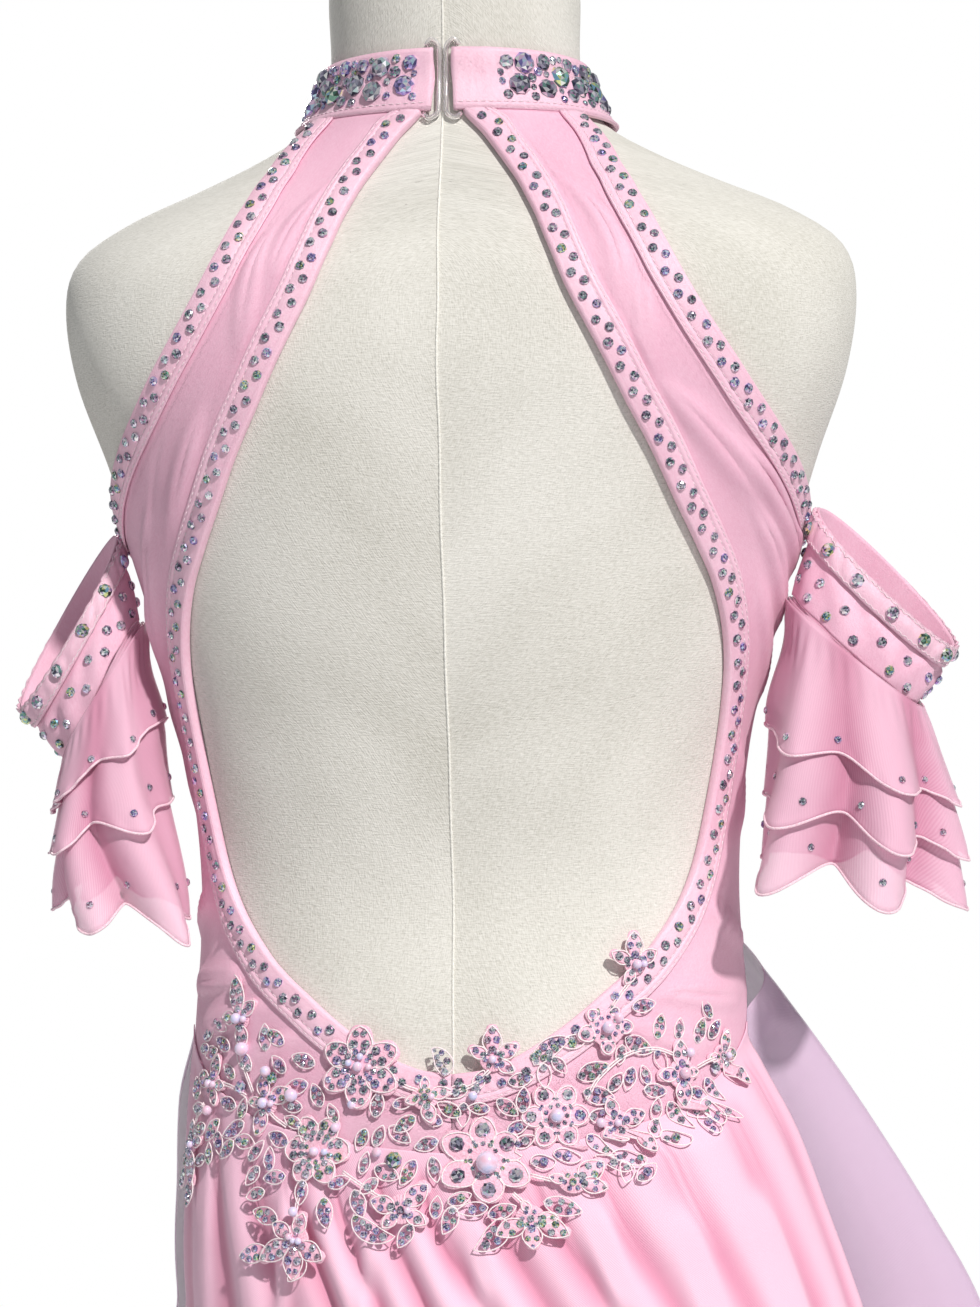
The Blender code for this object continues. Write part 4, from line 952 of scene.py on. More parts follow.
def form_stand():
    low = FORM_BOTTOM - SEAT_GAP - FLANGE_THICKNESS
    top, bottom = low - SEAT_GAP, BASE_HUB_TOP + SEAT_GAP
    collar = POLE_RADIUS + 0.0022
    add_turned("stand_flange", "dress_form_flange",
               [(FLANGE_RADIUS, FORM_BOTTOM - SEAT_GAP), (FLANGE_RADIUS, low)], 96, 0.0015)
    add_turned("stand_pole", "dress_form_pole",
               [(POLE_RADIUS, top), (POLE_RADIUS, 0.412), (collar, 0.410), (collar, 0.380),
                (POLE_RADIUS, 0.378), (POLE_RADIUS, bottom)], 64, 0.0012)
    add_turned("stand_base", "dress_form_base",
               [(BASE_HUB_RADIUS - 0.003, BASE_HUB_TOP), (BASE_HUB_RADIUS, BASE_HUB_TOP - 0.004),
                (BASE_HUB_RADIUS + 0.004, 0.026), (BASE_RADIUS * 0.55, 0.019),
                (BASE_RADIUS - 0.006, 0.014), (BASE_RADIUS, 0.010), (BASE_RADIUS, 0.0)],
               160, 0.004, 5)


# The bodice


def between_places(a, b, t):
    return Place(mix(a.angle, b.angle, t), mix(a.height, b.height, t))


def inside_binding(edge, i, side):
    before, after = edge[max(i - 1, 0)], edge[min(i + 1, len(edge) - 1)]
    run = form_surface(*after) - form_surface(*before)
    across, up = surface_slopes(*edge[i])
    inwards = unit(np.cross(np.cross(across, up), run)) * side
    inside = step_on_surface(edge[i], inwards, BINDING_WIDTH)
    return Place(inside.angle, min(inside.height, COLLAR_LOW - SEAM_GAP))


def halter_places():
    opening = [Place(row.inner_angle, row.inner_height) for row in PANEL_ROWS]
    outer = [Place(row.outer_angle, row.outer_height) for row in PANEL_ROWS]
    rows = []
    for i, (start, end) in enumerate(zip(opening, outer)):
        first = inside_binding(opening[:-1], i, 1.0) if i < len(opening) - 1 else None
        if first is None:
            first = Place(start.angle, start.height - BINDING_WIDTH)
        if i < ARMHOLE_ROWS:
            last = inside_binding(outer, i, -1.0)
        else:
            last = between_places(end, first, 1.0 / (PANEL_COLUMNS - 1))
        if end.angle == SIDE_SEAM_ANGLE:
            end = Place(SIDE_SEAM_ANGLE - SEAM_HALF_ANGLE, end.height)
        steps = PANEL_COLUMNS - 2
        middle = [between_places(first, last, k / steps) for k in range(steps + 1)]
        rows.append([start] + middle + [end])
    return rows


def front_places():
    first = SIDE_SEAM_ANGLE + SEAM_HALF_ANGLE
    half = FRONT_COLUMNS // 2
    armhole = [Place(row.edge_angle, row.edge_height) for row in FRONT_ROWS]
    halves = []
    for i, row in enumerate(FRONT_ROWS):
        inside = inside_binding(armhole, i, -1.0)
        middle = Place(180.0, row.middle_height)
        places = [Place(max(row.edge_angle, first), row.edge_height)]
        for c in range(half):
            share = c / (half - 1)
            angle = mix(inside.angle, middle.angle, share)
            places.append(Place(angle, mix(inside.height, middle.height, float(ease(share)))))
        halves.append(places)
    seam = [mix(first, 180.0, c / half) for c in range(half + 1)]
    seam = [Place(angle, float(waist_height(angle))) for angle in seam]
    below = [
        [between_places(a, b, r / FRONT_ROWS_BELOW) for a, b in zip(seam, halves[0])]
        for r in range(FRONT_ROWS_BELOW)
    ]
    return [
        places + [Place(360.0 - place.angle, place.height) for place in places[-2::-1]]
        for places in below + halves
    ]


CREASE_DEPTH = 0.0009       # the cloth can't sink further towards the form than this
TURN_LENGTH = 0.125 * math.pi / 180.0   # metres round the body for each degree


def creased(angle, height, creases):
    """How far soft creases lift the cloth at each place."""
    lift = np.zeros(np.shape(angle))
    for crease in creases:
        ax, ay = crease.angle * TURN_LENGTH, crease.height
        bx, by = crease.to_angle * TURN_LENGTH - ax, crease.to_height - ay
        px, py = angle * TURN_LENGTH - ax, height - ay
        length = bx * bx + by * by
        t = (px * bx + py * by) / length
        away = np.abs(px * by - py * bx) / math.sqrt(length)
        bow = 0.12 * math.sqrt(length) * (t - t * t)
        away = np.abs(away - bow * np.sign(crease.rise))
        along = ease((t + 0.15) / 0.45) * ease((1.15 - t) / 0.45)
        wide = crease.width * (0.7 + 0.6 * np.clip(t, 0.0, 1.0))
        lift += crease.rise * along * bell(away / wide)
    return lift


def panel_grid(places, row_steps, column_steps, creases, top_angle=None):
    """A dense grid of a bodice panel, with its creases, still on the solid's outline."""
    angle = np.array([[place.angle for place in row] for row in places])
    height = np.array([[place.height for place in row] for row in places])
    angle = refined(refined(angle, row_steps, 0), column_steps, 1)
    height = refined(refined(height, row_steps, 0), column_steps, 1)
    if top_angle is not None:
        angle = np.minimum(angle, top_angle)
    lift = creased(angle, height, creases)
    rows, columns = angle.shape
    r = np.minimum(np.arange(rows), rows - 1 - np.arange(rows))[:, None]
    c = np.minimum(np.arange(columns), columns - 1 - np.arange(columns))[None, :]
    lift = lift * ease(r / (row_steps * 0.9)) * ease((c - column_steps * 0.9) / (column_steps * 0.8))
    return body_point(angle, height, CLOTH_GAP + np.maximum(lift, -CREASE_DEPTH))


SIDES = (("right", 1.0), ("left", -1.0))


def mirrored(grid, sign):
    return grid * np.array([sign, 1.0, 1.0])


SATIN_SHELL = 0.0009        # the walls of the shells on the solids, finer than theirs
MESH_SHELL = 0.0005
HEM_RADIUS = 0.0006


def cloth(name, grid, look, node, wall=SATIN_SHELL, offset=1.0, closed=False,
          flip=False, depth=None, hem_out=0.0):
    """A cut piece in place of its solid; gives its normals.

    A depth makes it mesh, with painted shade in its folds' valleys and a rolled hem along its last
    row.
    """
    mesh = grid_mesh(name, grid, closed, flip)
    normals = grid_normals(grid, closed, flip)
    if depth is None:
        piece, hems = add(name, mesh, look, [node], wall, offset), []
    else:
        shade_folds(mesh, depth)
        piece = add(name, mesh, look, [node], wall, offset)
        rolled = tube(grid[-1] + normals[-1] * hem_out, normals[-1], HEM_RADIUS, closed=closed)
        hems = [add_tubes(name + "_hem", [rolled], HEM_THREAD)]
    return normals


def binding_pairs():
    """(edge, inside) places along the open back and along the right armhole, as in the solids."""
    back, front = halter_places(), front_places()
    opening = [(row[0], row[1]) for row in back]
    underarm = Place(FRONT_ROWS[0].edge_angle, FRONT_ROWS[0].edge_height)
    pairs = [(row[-1], row[-2]) for row in back[:ARMHOLE_ROWS]]
    pairs[-1] = (between_places(pairs[-1][0], pairs[-2][0], UNDERARM_EASE), pairs[-1][1])
    pairs.append((underarm, Place(underarm.angle, underarm.height - BINDING_WIDTH)))
    front_pairs = [(row[0], row[1]) for row in front[FRONT_ROWS_BELOW:]]
    front_pairs[0] = (
        between_places(front_pairs[0][0], front_pairs[1][0], UNDERARM_EASE), front_pairs[0][1]
    )
    return opening, pairs + front_pairs


BINDING_STEPS = 8
ROLL = [  # a binding's edge rolls round the panel: (how far past the edge, how far off the form)
    (0.00030, 0.0006), (0.00065, 0.0014), (0.00075, 0.0024), (0.00060, 0.0034), (0.00020, 0.0041),
]
FLAT_COLUMNS = 20
FLAT_FROM = 0.06                # where the flat columns start, as a share of the way across
STITCH_SHARES = (0.69, 0.90)    # where the two rows of stitches run across the binding
STONE_SHARES = (0.23, 0.51)
BINDING_CROWN, BINDING_TAIL, BINDING_PUCKER = 0.00055, 0.00030, 0.00016
STITCH_DENT = 0.00035
EDGE_STONE, EDGE_SPACING, EDGE_START = 0.0022, 0.0112, 0.006
STITCH_LENGTH, STITCH_GAP, STITCH_RADIUS = 0.0022, 0.0011, 0.00019


def binding_grid(pairs):
    """Rows along the binding; columns from under its rolled edge to its sewn edge."""
    edge = refined([[p[0].angle, p[0].height] for p in pairs], BINDING_STEPS, 0)
    inside = refined([[p[1].angle, p[1].height] for p in pairs], BINDING_STEPS, 0)
    for line in (edge, inside):
        line[:, 1] = np.minimum(line[:, 1], COLLAR_LOW - SEAM_GAP)
    on_form = form_surface(edge[:, 0], edge[:, 1])
    away = unit(on_form - form_surface(inside[:, 0], inside[:, 1]))
    columns = [
        body_point(edge[:, 0], edge[:, 1], out) + away * past
        for past, out in ROLL
    ]
    base = CLOTH_GAP + BODICE_WALL + LAY_GAP
    rows = np.arange(len(edge))
    for share in np.linspace(FLAT_FROM, 1.0, FLAT_COLUMNS):
        angle, height = mix(edge[:, 0], inside[:, 0], share), mix(edge[:, 1], inside[:, 1], share)
        crown = BINDING_CROWN * math.sin(math.pi * min(share / STITCH_SHARES[0], 1.0))
        for line in STITCH_SHARES:
            crown -= STITCH_DENT * math.exp(-(((share - line) / 0.035) ** 2))
        if share > STITCH_SHARES[0]:
            crown += BINDING_TAIL * math.sin(math.pi * (share - STITCH_SHARES[0]) / 0.31)
        pucker = BINDING_PUCKER * math.sin(math.pi * share) * np.sin(rows * 1.31 + share * 4.0)
        columns.append(body_point(angle, height, base + crown + pucker))
    return np.stack(columns, axis=1)


def column_at(grid, column):
    """The line down a grid at a fractional column."""
    i, b = int(column), column - int(column)
    return mix(grid[:, i], grid[:, min(i + 1, grid.shape[1] - 1)], b)


def stitches_along(grid, normals, column, lift):
    """Short threads in a row down a grid, at this column."""
    line, ups = column_at(grid, column), column_at(normals, column)
    run = run_along(line)
    parts = []
    for start in np.arange(0.002, run[-1] - STITCH_LENGTH - 0.001, STITCH_LENGTH + STITCH_GAP):
        at = start + STITCH_LENGTH * np.linspace(0.0, 1.0, 4)
        up = unit(points_at(at, run, ups))
        rise = lift + STITCH_RADIUS * np.array([-1.0, 0.5, 0.5, -1.0])
        parts.append(tube(points_at(at, run, line) + up * rise[:, None], up, STITCH_RADIUS, sides=5))
    return parts


def column_of_share(share):
    """The column of a binding's grid at this share across: the rolled edge comes first."""
    return len(ROLL) + (share - FLAT_FROM) / (1.0 - FLAT_FROM) * (FLAT_COLUMNS - 1)


Stone = namedtuple("Stone", "centre normal radius kind")
BINDING_KINDS = ("dark", "dark", "dark", "violet", "green", "clear")


def pick(kinds):
    return kinds[RANDOM.integers(len(kinds))]


def tilted(normal, spread):
    return unit(normal + RANDOM.normal(0.0, spread, 3))


def stones_along(grid, normals, share, start):
    """Stones in a row along a binding, spaced along its middle so that two rows stay in step."""
    line, ups = (column_at(values, column_of_share(share)) for values in (grid, normals))
    run = run_along(grid[:, int(column_of_share(0.37))])
    stones = []
    for at in np.arange(start, run[-1] - 0.003, EDGE_SPACING):
        at = at + RANDOM.uniform(-0.0007, 0.0007)
        normal = unit(points_at(at, run, ups))
        size = EDGE_STONE * RANDOM.uniform(0.92, 1.06)
        centre = points_at(at, run, line) + normal * (SATIN_SHELL + size * 0.06)
        stones.append(Stone(centre, tilted(normal, 0.07), size, pick(BINDING_KINDS)))
    return stones


def cut_stone(count, levels):
    """Points and facets of a round stone of radius 1 that lies flat at height 0.

    A level is its radius, its height and its shift round the stone, in steps.
    """
    points = [(0.0, 0.0, levels[0][1] + 0.01)]
    for radius, height, shift in levels + [(0.97, -0.10, levels[-1][2])]:
        points += [(radius * math.cos(t), radius * math.sin(t), height) for t in circle(count, shift)]
    faces = [[0, 1 + k, 1 + (k + 1) % count] for k in range(count)]
    for level, (_, _, shift) in enumerate(levels):
        a, b = 1 + level * count, 1 + (level + 1) * count
        slanted = level + 1 < len(levels) and levels[level + 1][2] >= shift
        for k in range(count):
            n = (k + 1) % count
            if slanted:
                faces += [[a + k, b + k, a + n], [b + k, b + n, a + n]]
            else:
                faces += [[a + k, b + k, b + n], [a + k, b + n, a + n]]
    faces.append([len(points) - count + k for k in range(count)][::-1])
    return np.array(points), faces


CUT_LARGE = cut_stone(8, [(0.50, 0.62, 0.0), (0.80, 0.42, 0.5), (1.0, 0.12, 0.0)])
CUT_SMALL = cut_stone(6, [(0.52, 0.60, 0.0), (1.0, 0.14, 0.5)])
SMALL_RADIUS = 0.00135


def add_stones(name, stones):
    """All these stones as one mesh, each facet painted with a reflection in its stone's colours."""
    points, faces, colours, start = [], [], [], 0
    for stone in stones:
        shape, facets = CUT_SMALL if stone.radius < SMALL_RADIUS else CUT_LARGE
        normal = unit(stone.normal)
        side = unit(np.cross(normal, RANDOM.normal(0.0, 1.0, 3)))
        up = np.cross(normal, side)
        axes = np.stack([side, up, normal])
        points.append(stone.centre + (shape * stone.radius) @ axes)
        palette = FACET_TINTS_AND_REFLECTIONS[stone.kind]
        bright = RANDOM.uniform(0.75, 1.2)
        for facet in facets:
            colour = np.minimum(np.array(pick(palette)) * bright, 1.0)
            colours += [(*colour, 1.0)] * len(facet)
            faces.append([start + i for i in facet])
        start += len(shape)
    mesh = mesh_of(name, np.concatenate(points), faces, smooth=False)
    layer = mesh.color_attributes.new("facet", "FLOAT_COLOR", "CORNER")
    layer.data.foreach_set("color", np.array(colours, np.float32).reshape(-1))
    return add(name, mesh, CRYSTAL)


def add_balls(name, balls, look, rings=10, steps=16):
    """Round beads as one piece, from (centre, radius)."""
    points, faces = [(0.0, 0.0, 1.0)], []
    for i in range(1, rings):
        tilt = math.pi * i / rings
        points += [(math.sin(tilt) * math.cos(turn), math.sin(tilt) * math.sin(turn), math.cos(tilt))
                   for turn in circle(steps)]
    points.append((0.0, 0.0, -1.0))
    for k in range(steps):
        n = (k + 1) % steps
        faces.append([0, 1 + k, 1 + n])
        for a in range(1, 1 + (rings - 2) * steps, steps):
            faces.append([a + k, a + steps + k, a + steps + n, a + n])
        last = 1 + (rings - 2) * steps
        faces.append([last + n, last + k, len(points) - 1])
    shape = np.array(points)
    add_tubes(name, [(centre + shape * radius, faces) for centre, radius in balls], look)


def bodice():
    back, front = halter_places(), front_places()
    for side, sign in SIDES:
        grid = panel_grid(back, 8, 8, BACK_CREASES[side], SIDE_SEAM_ANGLE - SEAM_HALF_ANGLE)
        cloth(f"panel_back_{side}", mirrored(grid, sign), SATIN, f"back_{side}",
              BODICE_WALL, flip=sign > 0)
    cloth("panel_front", panel_grid(front, 6, 6, FRONT_CREASES), SATIN, "front",
          BODICE_WALL)


def bindings():
    stones, threads = [], []
    for edge, pairs in zip(("back", "arm"), binding_pairs()):
        for side, sign in SIDES:
            grid = mirrored(binding_grid(pairs), sign)
            normals = cloth(f"edge_{edge}_{side}", grid, SATIN_EDGE, f"binding_{edge}_{side}",
                            flip=(sign > 0) == (edge == "back"))
            for share in STITCH_SHARES:
                threads += stitches_along(grid, normals, column_of_share(share), SATIN_SHELL + 0.00012)
            for share, start in zip(STONE_SHARES, (EDGE_START, EDGE_START + EDGE_SPACING / 2)):
                stones += stones_along(grid, normals, share, start)
    add_tubes("binding_stitches", threads, SEW_THREAD)
    add_stones("binding_stones", stones)


# The collar


COLLAR_COLUMNS, COLLAR_ROWS = 220, 14
COLLAR_PUFF, COLLAR_HEM, COLLAR_RUMPLE, COLLAR_PINCH = 0.0006, 0.0007, 0.00035, 0.0008
COLLAR_STONES = [0.0050, 0.0040, 0.0034, 0.0028, 0.0023, 0.0019, 0.0016]
COLLAR_TRIES = [160, 500, 1200, 2600, 5200, 9000, 9000]
COLLAR_KINDS = ("violet", "dark", "violet", "green", "clear", "dark")
PLAIN_LEFT, PLAIN_RIGHT = 0.0060, 0.0200    # the collar's ends without stones
STONES_LOW, STONES_HIGH = 0.0038, 0.0240    # how far up they start, and the height that they fill


def packed_discs(wide, high, sizes, tries, gap):
    """Discs of mixed sizes, set close together in a rectangle: (x, y, radius)."""
    found = []
    for size, count in zip(sizes, tries):
        for _ in range(count):
            radius = size * RANDOM.uniform(0.94, 1.05)
            if 2 * radius > high:
                continue
            x = RANDOM.uniform(radius, wide - radius)
            y = RANDOM.uniform(radius, high - radius)
            if all((x - a) ** 2 + (y - b) ** 2 > (radius + r + gap) ** 2 for a, b, r in found):
                found.append((x, y, radius))
    return found


def collar():
    turn = np.linspace(COLLAR_END_ANGLE, 360.0 - COLLAR_END_ANGLE, COLLAR_COLUMNS + 1)
    height = np.linspace(COLLAR_LOW, COLLAR_HIGH, COLLAR_ROWS + 1)
    angle, level = np.meshgrid(turn, height)
    share = (level - COLLAR_LOW) / (COLLAR_HIGH - COLLAR_LOW)
    end = np.minimum(angle - COLLAR_END_ANGLE, 360.0 - COLLAR_END_ANGLE - angle)
    puff = COLLAR_PUFF * np.sin(np.pi * share) * ease(end / 2.0)
    hem = COLLAR_HEM * bell((share - 0.10) / 0.05)
    rumple = COLLAR_RUMPLE * np.sin(angle * 1.7 + share * 5.0) * np.sin(np.pi * share)
    pinch = COLLAR_PINCH * bell((end - 15.0) / 2.2) * np.sin(np.pi * share)
    grid = body_point(angle, level, CLOTH_GAP + puff + rumple + pinch - hem * 0.4)
    normals = cloth("collar_band", grid, SATIN_EDGE, "collar", COLLAR_WALL)
    seam = stitches_along(np.swapaxes(grid, 0, 1), np.swapaxes(normals, 0, 1),
                          0.12 * COLLAR_ROWS, COLLAR_WALL + 0.0001)
    add_tubes("collar_stitches", seam, SEW_THREAD)
    run = run_along(grid[COLLAR_ROWS // 2])
    wide = run[-1] - PLAIN_LEFT - PLAIN_RIGHT
    stones = []
    for x, y, radius in packed_discs(wide, STONES_HIGH, COLLAR_STONES, COLLAR_TRIES, 0.0003):
        column = np.interp(x + PLAIN_RIGHT, run, np.arange(COLLAR_COLUMNS + 1))
        row = (y + STONES_LOW) / (COLLAR_HIGH - COLLAR_LOW) * COLLAR_ROWS
        normal = unit(sample(normals, row, column))
        centre = sample(grid, row, column) + normal * (COLLAR_WALL + radius * 0.05)
        kind = pick(COLLAR_KINDS)
        stones.append(Stone(centre, tilted(normal, 0.06), radius, kind))
    add_stones("collar_stones", stones)


def clasp():
    """Two clear frames, one on each end of the collar, that hook into each other."""
    above = COLLAR_HIGH + CLASP_WIRE + SEAT_GAP
    below = COLLAR_LOW - CLASP_WIRE - SEAT_GAP
    knee = CLASP_MIDDLE + 0.0034
    spots = [
        (CLASP_REACH, above), (knee, above + 0.0034), (CLASP_MIDDLE, above),
        (CLASP_MIDDLE, mix(above, below, 0.5)), (CLASP_MIDDLE, below), (knee, below - 0.0026),
        (CLASP_REACH, below),
    ]
    beside, height = np.array(rounded(spots, CLASP_CORNER, 5)).T
    reach = np.linalg.norm(form_surface(np.zeros(len(height)), height)[:, :2], axis=1)
    for side, sign in SIDES[::-1]:
        angle = np.degrees(np.arcsin(beside / reach)) * sign
        path = body_point(angle, height, CLASP_OFFSET)
        ups = body_point(angle, height, CLASP_OFFSET + 0.01) - path
        add_tubes(f"clasp_frame_{side}", [tube(path, ups, CLASP_WIRE, sides=12)], PLASTIC,
                  [f"clasp_{side}"])


# The skirt


def skirt_point(angle, height, right_column, lift):
    s, c = np.sin(np.radians(angle)), np.cos(np.radians(angle))
    wide = np.where(s > 0, SKIRT[right_column](height), SKIRT["left"](height))
    deep = np.where(c > 0, SKIRT["back"](height), SKIRT["front"](height))
    half = FORM["half_width"](height) + CLOTH_GAP
    body = np.where(c > 0, FORM["back"](height), FORM["front"](height)) + CLOTH_GAP
    over = np.asarray(height) > FORM_BOTTOM
    wide = np.where(over, np.maximum(wide, half), wide)
    deep = np.where(over, np.maximum(deep, body), deep)
    flat, ahead, behind = (
        oval_point(angle + turn, height, wide, deep, SKIRT_POWER) for turn in (0.0, 0.2, -0.2)
    )
    outward = unit(np.cross(ahead - behind, np.array([0.0, 0.0, 1.0])))
    return flat + outward * np.asarray(lift)[..., None]


def fold_depth(gather, swing, drop, length):
    return gather * ease(drop / GATHER_DROP) + swing * np.maximum(0.0, drop / length) ** 1.25


LEFT_SEAM_ANGLE = 265.0


def side_shift(angle, height, drop):
    """How far the front panel lies under the back one at the right, and over it at the left."""
    half = FORM["half_width"](height) + CLOTH_GAP
    flare = np.maximum(SKIRT["right_front"](height), half)
    flare = flare - np.maximum(SKIRT["right_back"](height), half)
    share = ease((TUCK_ANGLE - angle) / TUCK_TURN)
    tuck = -share * (flare + TUCK_DEPTH * ease((drop - 0.012) / TUCK_DROP))
    lap = LAP_LIFT * ease((angle - LEFT_SEAM_ANGLE) / 12.0) * ease((drop - 0.004) / 0.03)
    return np.where(angle < TUCK_ANGLE, tuck, np.where(angle > LEFT_SEAM_ANGLE, lap, 0.0))


GATHER_RISE = 0.0016
SKIRT_STEPS = 17
SKIRT_ROW_COUNT = 96
SEAM_LAP = 0.0018           # how far the skirt's top edge reaches over the bodice
SEAM_LIFT = 0.0004          # how far outside it the edge lies
SEAM_FADE = 0.012           # by which drop it has come off the bodice
SLIT_TURN = 16.0            # how far the front panel's edge reaches on, under the back panel's
SLIT_DROP = 0.040           # by which drop
SLIT_END = 0.560            # from which drop it is back at its own line
SLIT_FADE = 0.300
LEAN_DROP = 0.100           # by which drop the back's folds have leant over to the right
LEAN_END = 0.420
LEAN_ANGLES = [-80.0, -58.0, -36.0, -17.0, 0.0, 10.0, 24.0, 45.0, 64.0, 80.0]
LEANS = [0.0, 10.0, 15.0, 14.0, 12.0, 13.0, 12.0, 8.0, 4.0, 0.0]

# How full each fold's crest is, from the left: soft cloth is never even
BACK_FULLNESS = [1.0, 0.85, 1.0, 0.55, 1.0, 0.70, 1.0, 0.90, 0.60, 1.0, 0.80, 1.0, 0.75, 1.0]
FRONT_FULLNESS = [1.0, 0.80, 1.0, 0.65, 1.0, 0.90, 0.60, 1.0, 0.85, 1.0, 0.70, 1.0, 1.0]


def gather_rise(drop):
    """How much the gathers stand up just below the seam."""
    return GATHER_RISE * ease(drop / 0.012) * ease((0.080 - drop) / 0.050)


def skirt_grid(folds, fullness, right_column, ridges, front):
    """The panel's grid, and as painted shade how high each point lies between the valleys and the
    crests.
    """
    lines = np.column_stack([np.array(folds), fullness])
    n = len(folds)
    at = np.arange((n - 1) * SKIRT_STEPS + 1) / SKIRT_STEPS
    i = np.minimum(at.astype(int), n - 2)
    t = at - i
    columns = mix(lines[i], lines[i + 1], t[:, None])
    top_angle, hem_angle, gather, swing = columns.T[:4]
    full = np.where(t < 0.5, lines[i, 4], lines[i + 1, 4])
    share = (np.linspace(0.0, 1.0, SKIRT_ROW_COUNT + 1) ** 1.45)[:, None]
    top = waist_height(top_angle) - GATHER_GAP
    length = top - SKIRT_HEM
    drop = length * share
    over_seam = 1.0 - ease(drop / SEAM_FADE)
    height = top - drop + (GATHER_GAP + SEAM_LAP) * over_seam
    turned = ease(share * 1.25)
    angle = mix(top_angle, hem_angle, turned)
    if front:
        tucked = ease((TUCK_ANGLE - top_angle) / TUCK_TURN)
        slip = SLIP_TURN * ease((drop - SLIP_FROM) / (SLIP_TO - SLIP_FROM))
        slip = slip + SLIT_TURN * ease(drop / SLIT_DROP) * ease((SLIT_END - drop) / SLIT_FADE)
        angle = angle - slip * tucked
    else:
        leaning = ease(drop / LEAN_DROP) * ease((LEAN_END - drop) / (LEAN_END - LEAN_DROP))
        angle = angle + np.interp(top_angle, LEAN_ANGLES, LEANS) * leaning
    crest = (0.5 + 0.5 * np.cos(2 * np.pi * t)) ** 0.8
    crest = crest * mix(full, 1.0, ease((share - 0.3) / 0.5))
    rise = gather_rise(drop)
    if front:
        rise = rise * (1.0 - tucked)
    envelope = fold_depth(gather, swing, drop, length) + rise
    pleats = 0.5 + 0.5 * np.sin(top_angle * 2.7 + 1.4 * np.sin(top_angle * 0.31))
    pleats = pleats * ease(drop / 0.004) * ease((0.060 - drop) / 0.050)
    lift = np.maximum(envelope * crest, envelope * 0.45 * pleats)
    for ridge in ridges:
        line = mix(ridge.top_angle, ridge.hem_angle, turned)
        shown = ease((drop - ridge.start) / 0.03) * ease((ridge.stop - drop) / 0.12)
        wide = ridge.wide * (1.0 + 1.4 * share)
        rise = ridge.rise * (1.0 + 2.2 * share)
        lift = np.maximum(lift, np.minimum(
            lift + rise * shown * bell((angle - line) / wide), envelope
        ))
    # Painted shade for the folds: darker in their valleys, most in deep folds, from just below the
    # seam.
    hollow = 1.0 - lift / np.maximum(envelope, 1e-5)
    depth = 1.0 - hollow * mix(0.65, 1.0, ease(envelope / 0.0040)) * ease(drop / 0.010)
    if front:
        lift = lift + side_shift(angle, height, drop)
    hanging = skirt_point(angle, height, right_column, lift)
    if front:
        return hanging, depth
    sewn = body_point(angle, height, CLOTH_GAP + BODICE_WALL + SEAM_LIFT)
    return mix(hanging, sewn, over_seam[..., None]), depth


def skirt():
    grid, depth = skirt_grid(BACK_FOLDS, BACK_FULLNESS, "right_back", BACK_RIDGES, False)
    cloth("skirt_panel_back", grid, SKIRT_MESH, "skirt_back", MESH_SHELL,
          flip=True, depth=depth, hem_out=HEM_RADIUS / 2)
    grid, depth = skirt_grid(FRONT_FOLDS, FRONT_FULLNESS, "right_front", FRONT_RIDGES, True)
    cloth("skirt_panel_front", grid, LILAC_MESH, "skirt_front", MESH_SHELL,
          flip=True, depth=depth, hem_out=HEM_RADIUS / 2)


# The sleeves


SLEEVE_GATHERS, SLEEVE_PUFF = (0.0011, 0.0008), 0.0016
BAND_RUFFLES, BAND_PUFF = (0.0004, 0.0006), 0.0007
FLOUNCE_GATHER, FLOUNCE_CREASE, FLOUNCE_RIPPLE = 0.00035, 0.0007, 0.0005


def loop_point(loops, share, turn, out):
    share, turn = np.broadcast_arrays(np.asarray(share, float), np.asarray(turn, float))
    middle, half, across = (
        mix(np.array(a), np.array(b), share[..., None]) for a, b in zip(*loops)
    )
    c, s = np.cos(np.radians(turn))[..., None], np.sin(np.radians(turn))[..., None]
    run = across * c - half * s
    outward = unit(np.stack([run[..., 1], -run[..., 0], 0 * run[..., 0]], axis=-1))
    place = half * c + across * s
    outward = np.where((outward * place).sum(-1, keepdims=True) < 0, -outward, outward)
    return middle + place + outward * np.broadcast_to(out, turn.shape)[..., None]


def sleeve_grid(sleeve):
    turn, share = degrees_round(120, np.linspace(0.0, 1.0, 25))
    below = ease((share - BAND_SHARE) / 0.14)
    gathers = SLEEVE_GATHERS[0] * np.sin(np.radians(turn) * 9 + 1.3 * np.sin(share * 5.0)) * below
    gathers += SLEEVE_GATHERS[1] * np.sin(np.radians(turn) * 17 + share * 3.0) * below * (1.1 - share)
    puff = SLEEVE_PUFF * np.sin(np.pi * np.clip((share - BAND_SHARE) / (1.0 - BAND_SHARE), 0, 1))
    tight = 0.5 + 0.5 * np.cos(np.radians(turn))
    return loop_point(sleeve.loops, share, turn, (gathers + puff) * (0.35 + 0.65 * tight))


def band_grid(sleeve):
    turn, share = degrees_round(144, np.linspace(0.0, 1.0, 11))
    puff = BAND_PUFF * np.sin(np.pi * share) * (1.0 + 0.5 * np.sin(np.radians(turn) * 31))
    ruffle = BAND_RUFFLES[0] * np.sin(np.radians(turn) * 23 + 2.0) * np.sin(np.pi * share)
    ruffle += BAND_RUFFLES[1] * np.sin(np.radians(turn) * 36) * ease(1.0 - share * 3.5)
    return loop_point(sleeve.loops, share * BAND_SHARE, turn, BAND_GAP + puff + ruffle)


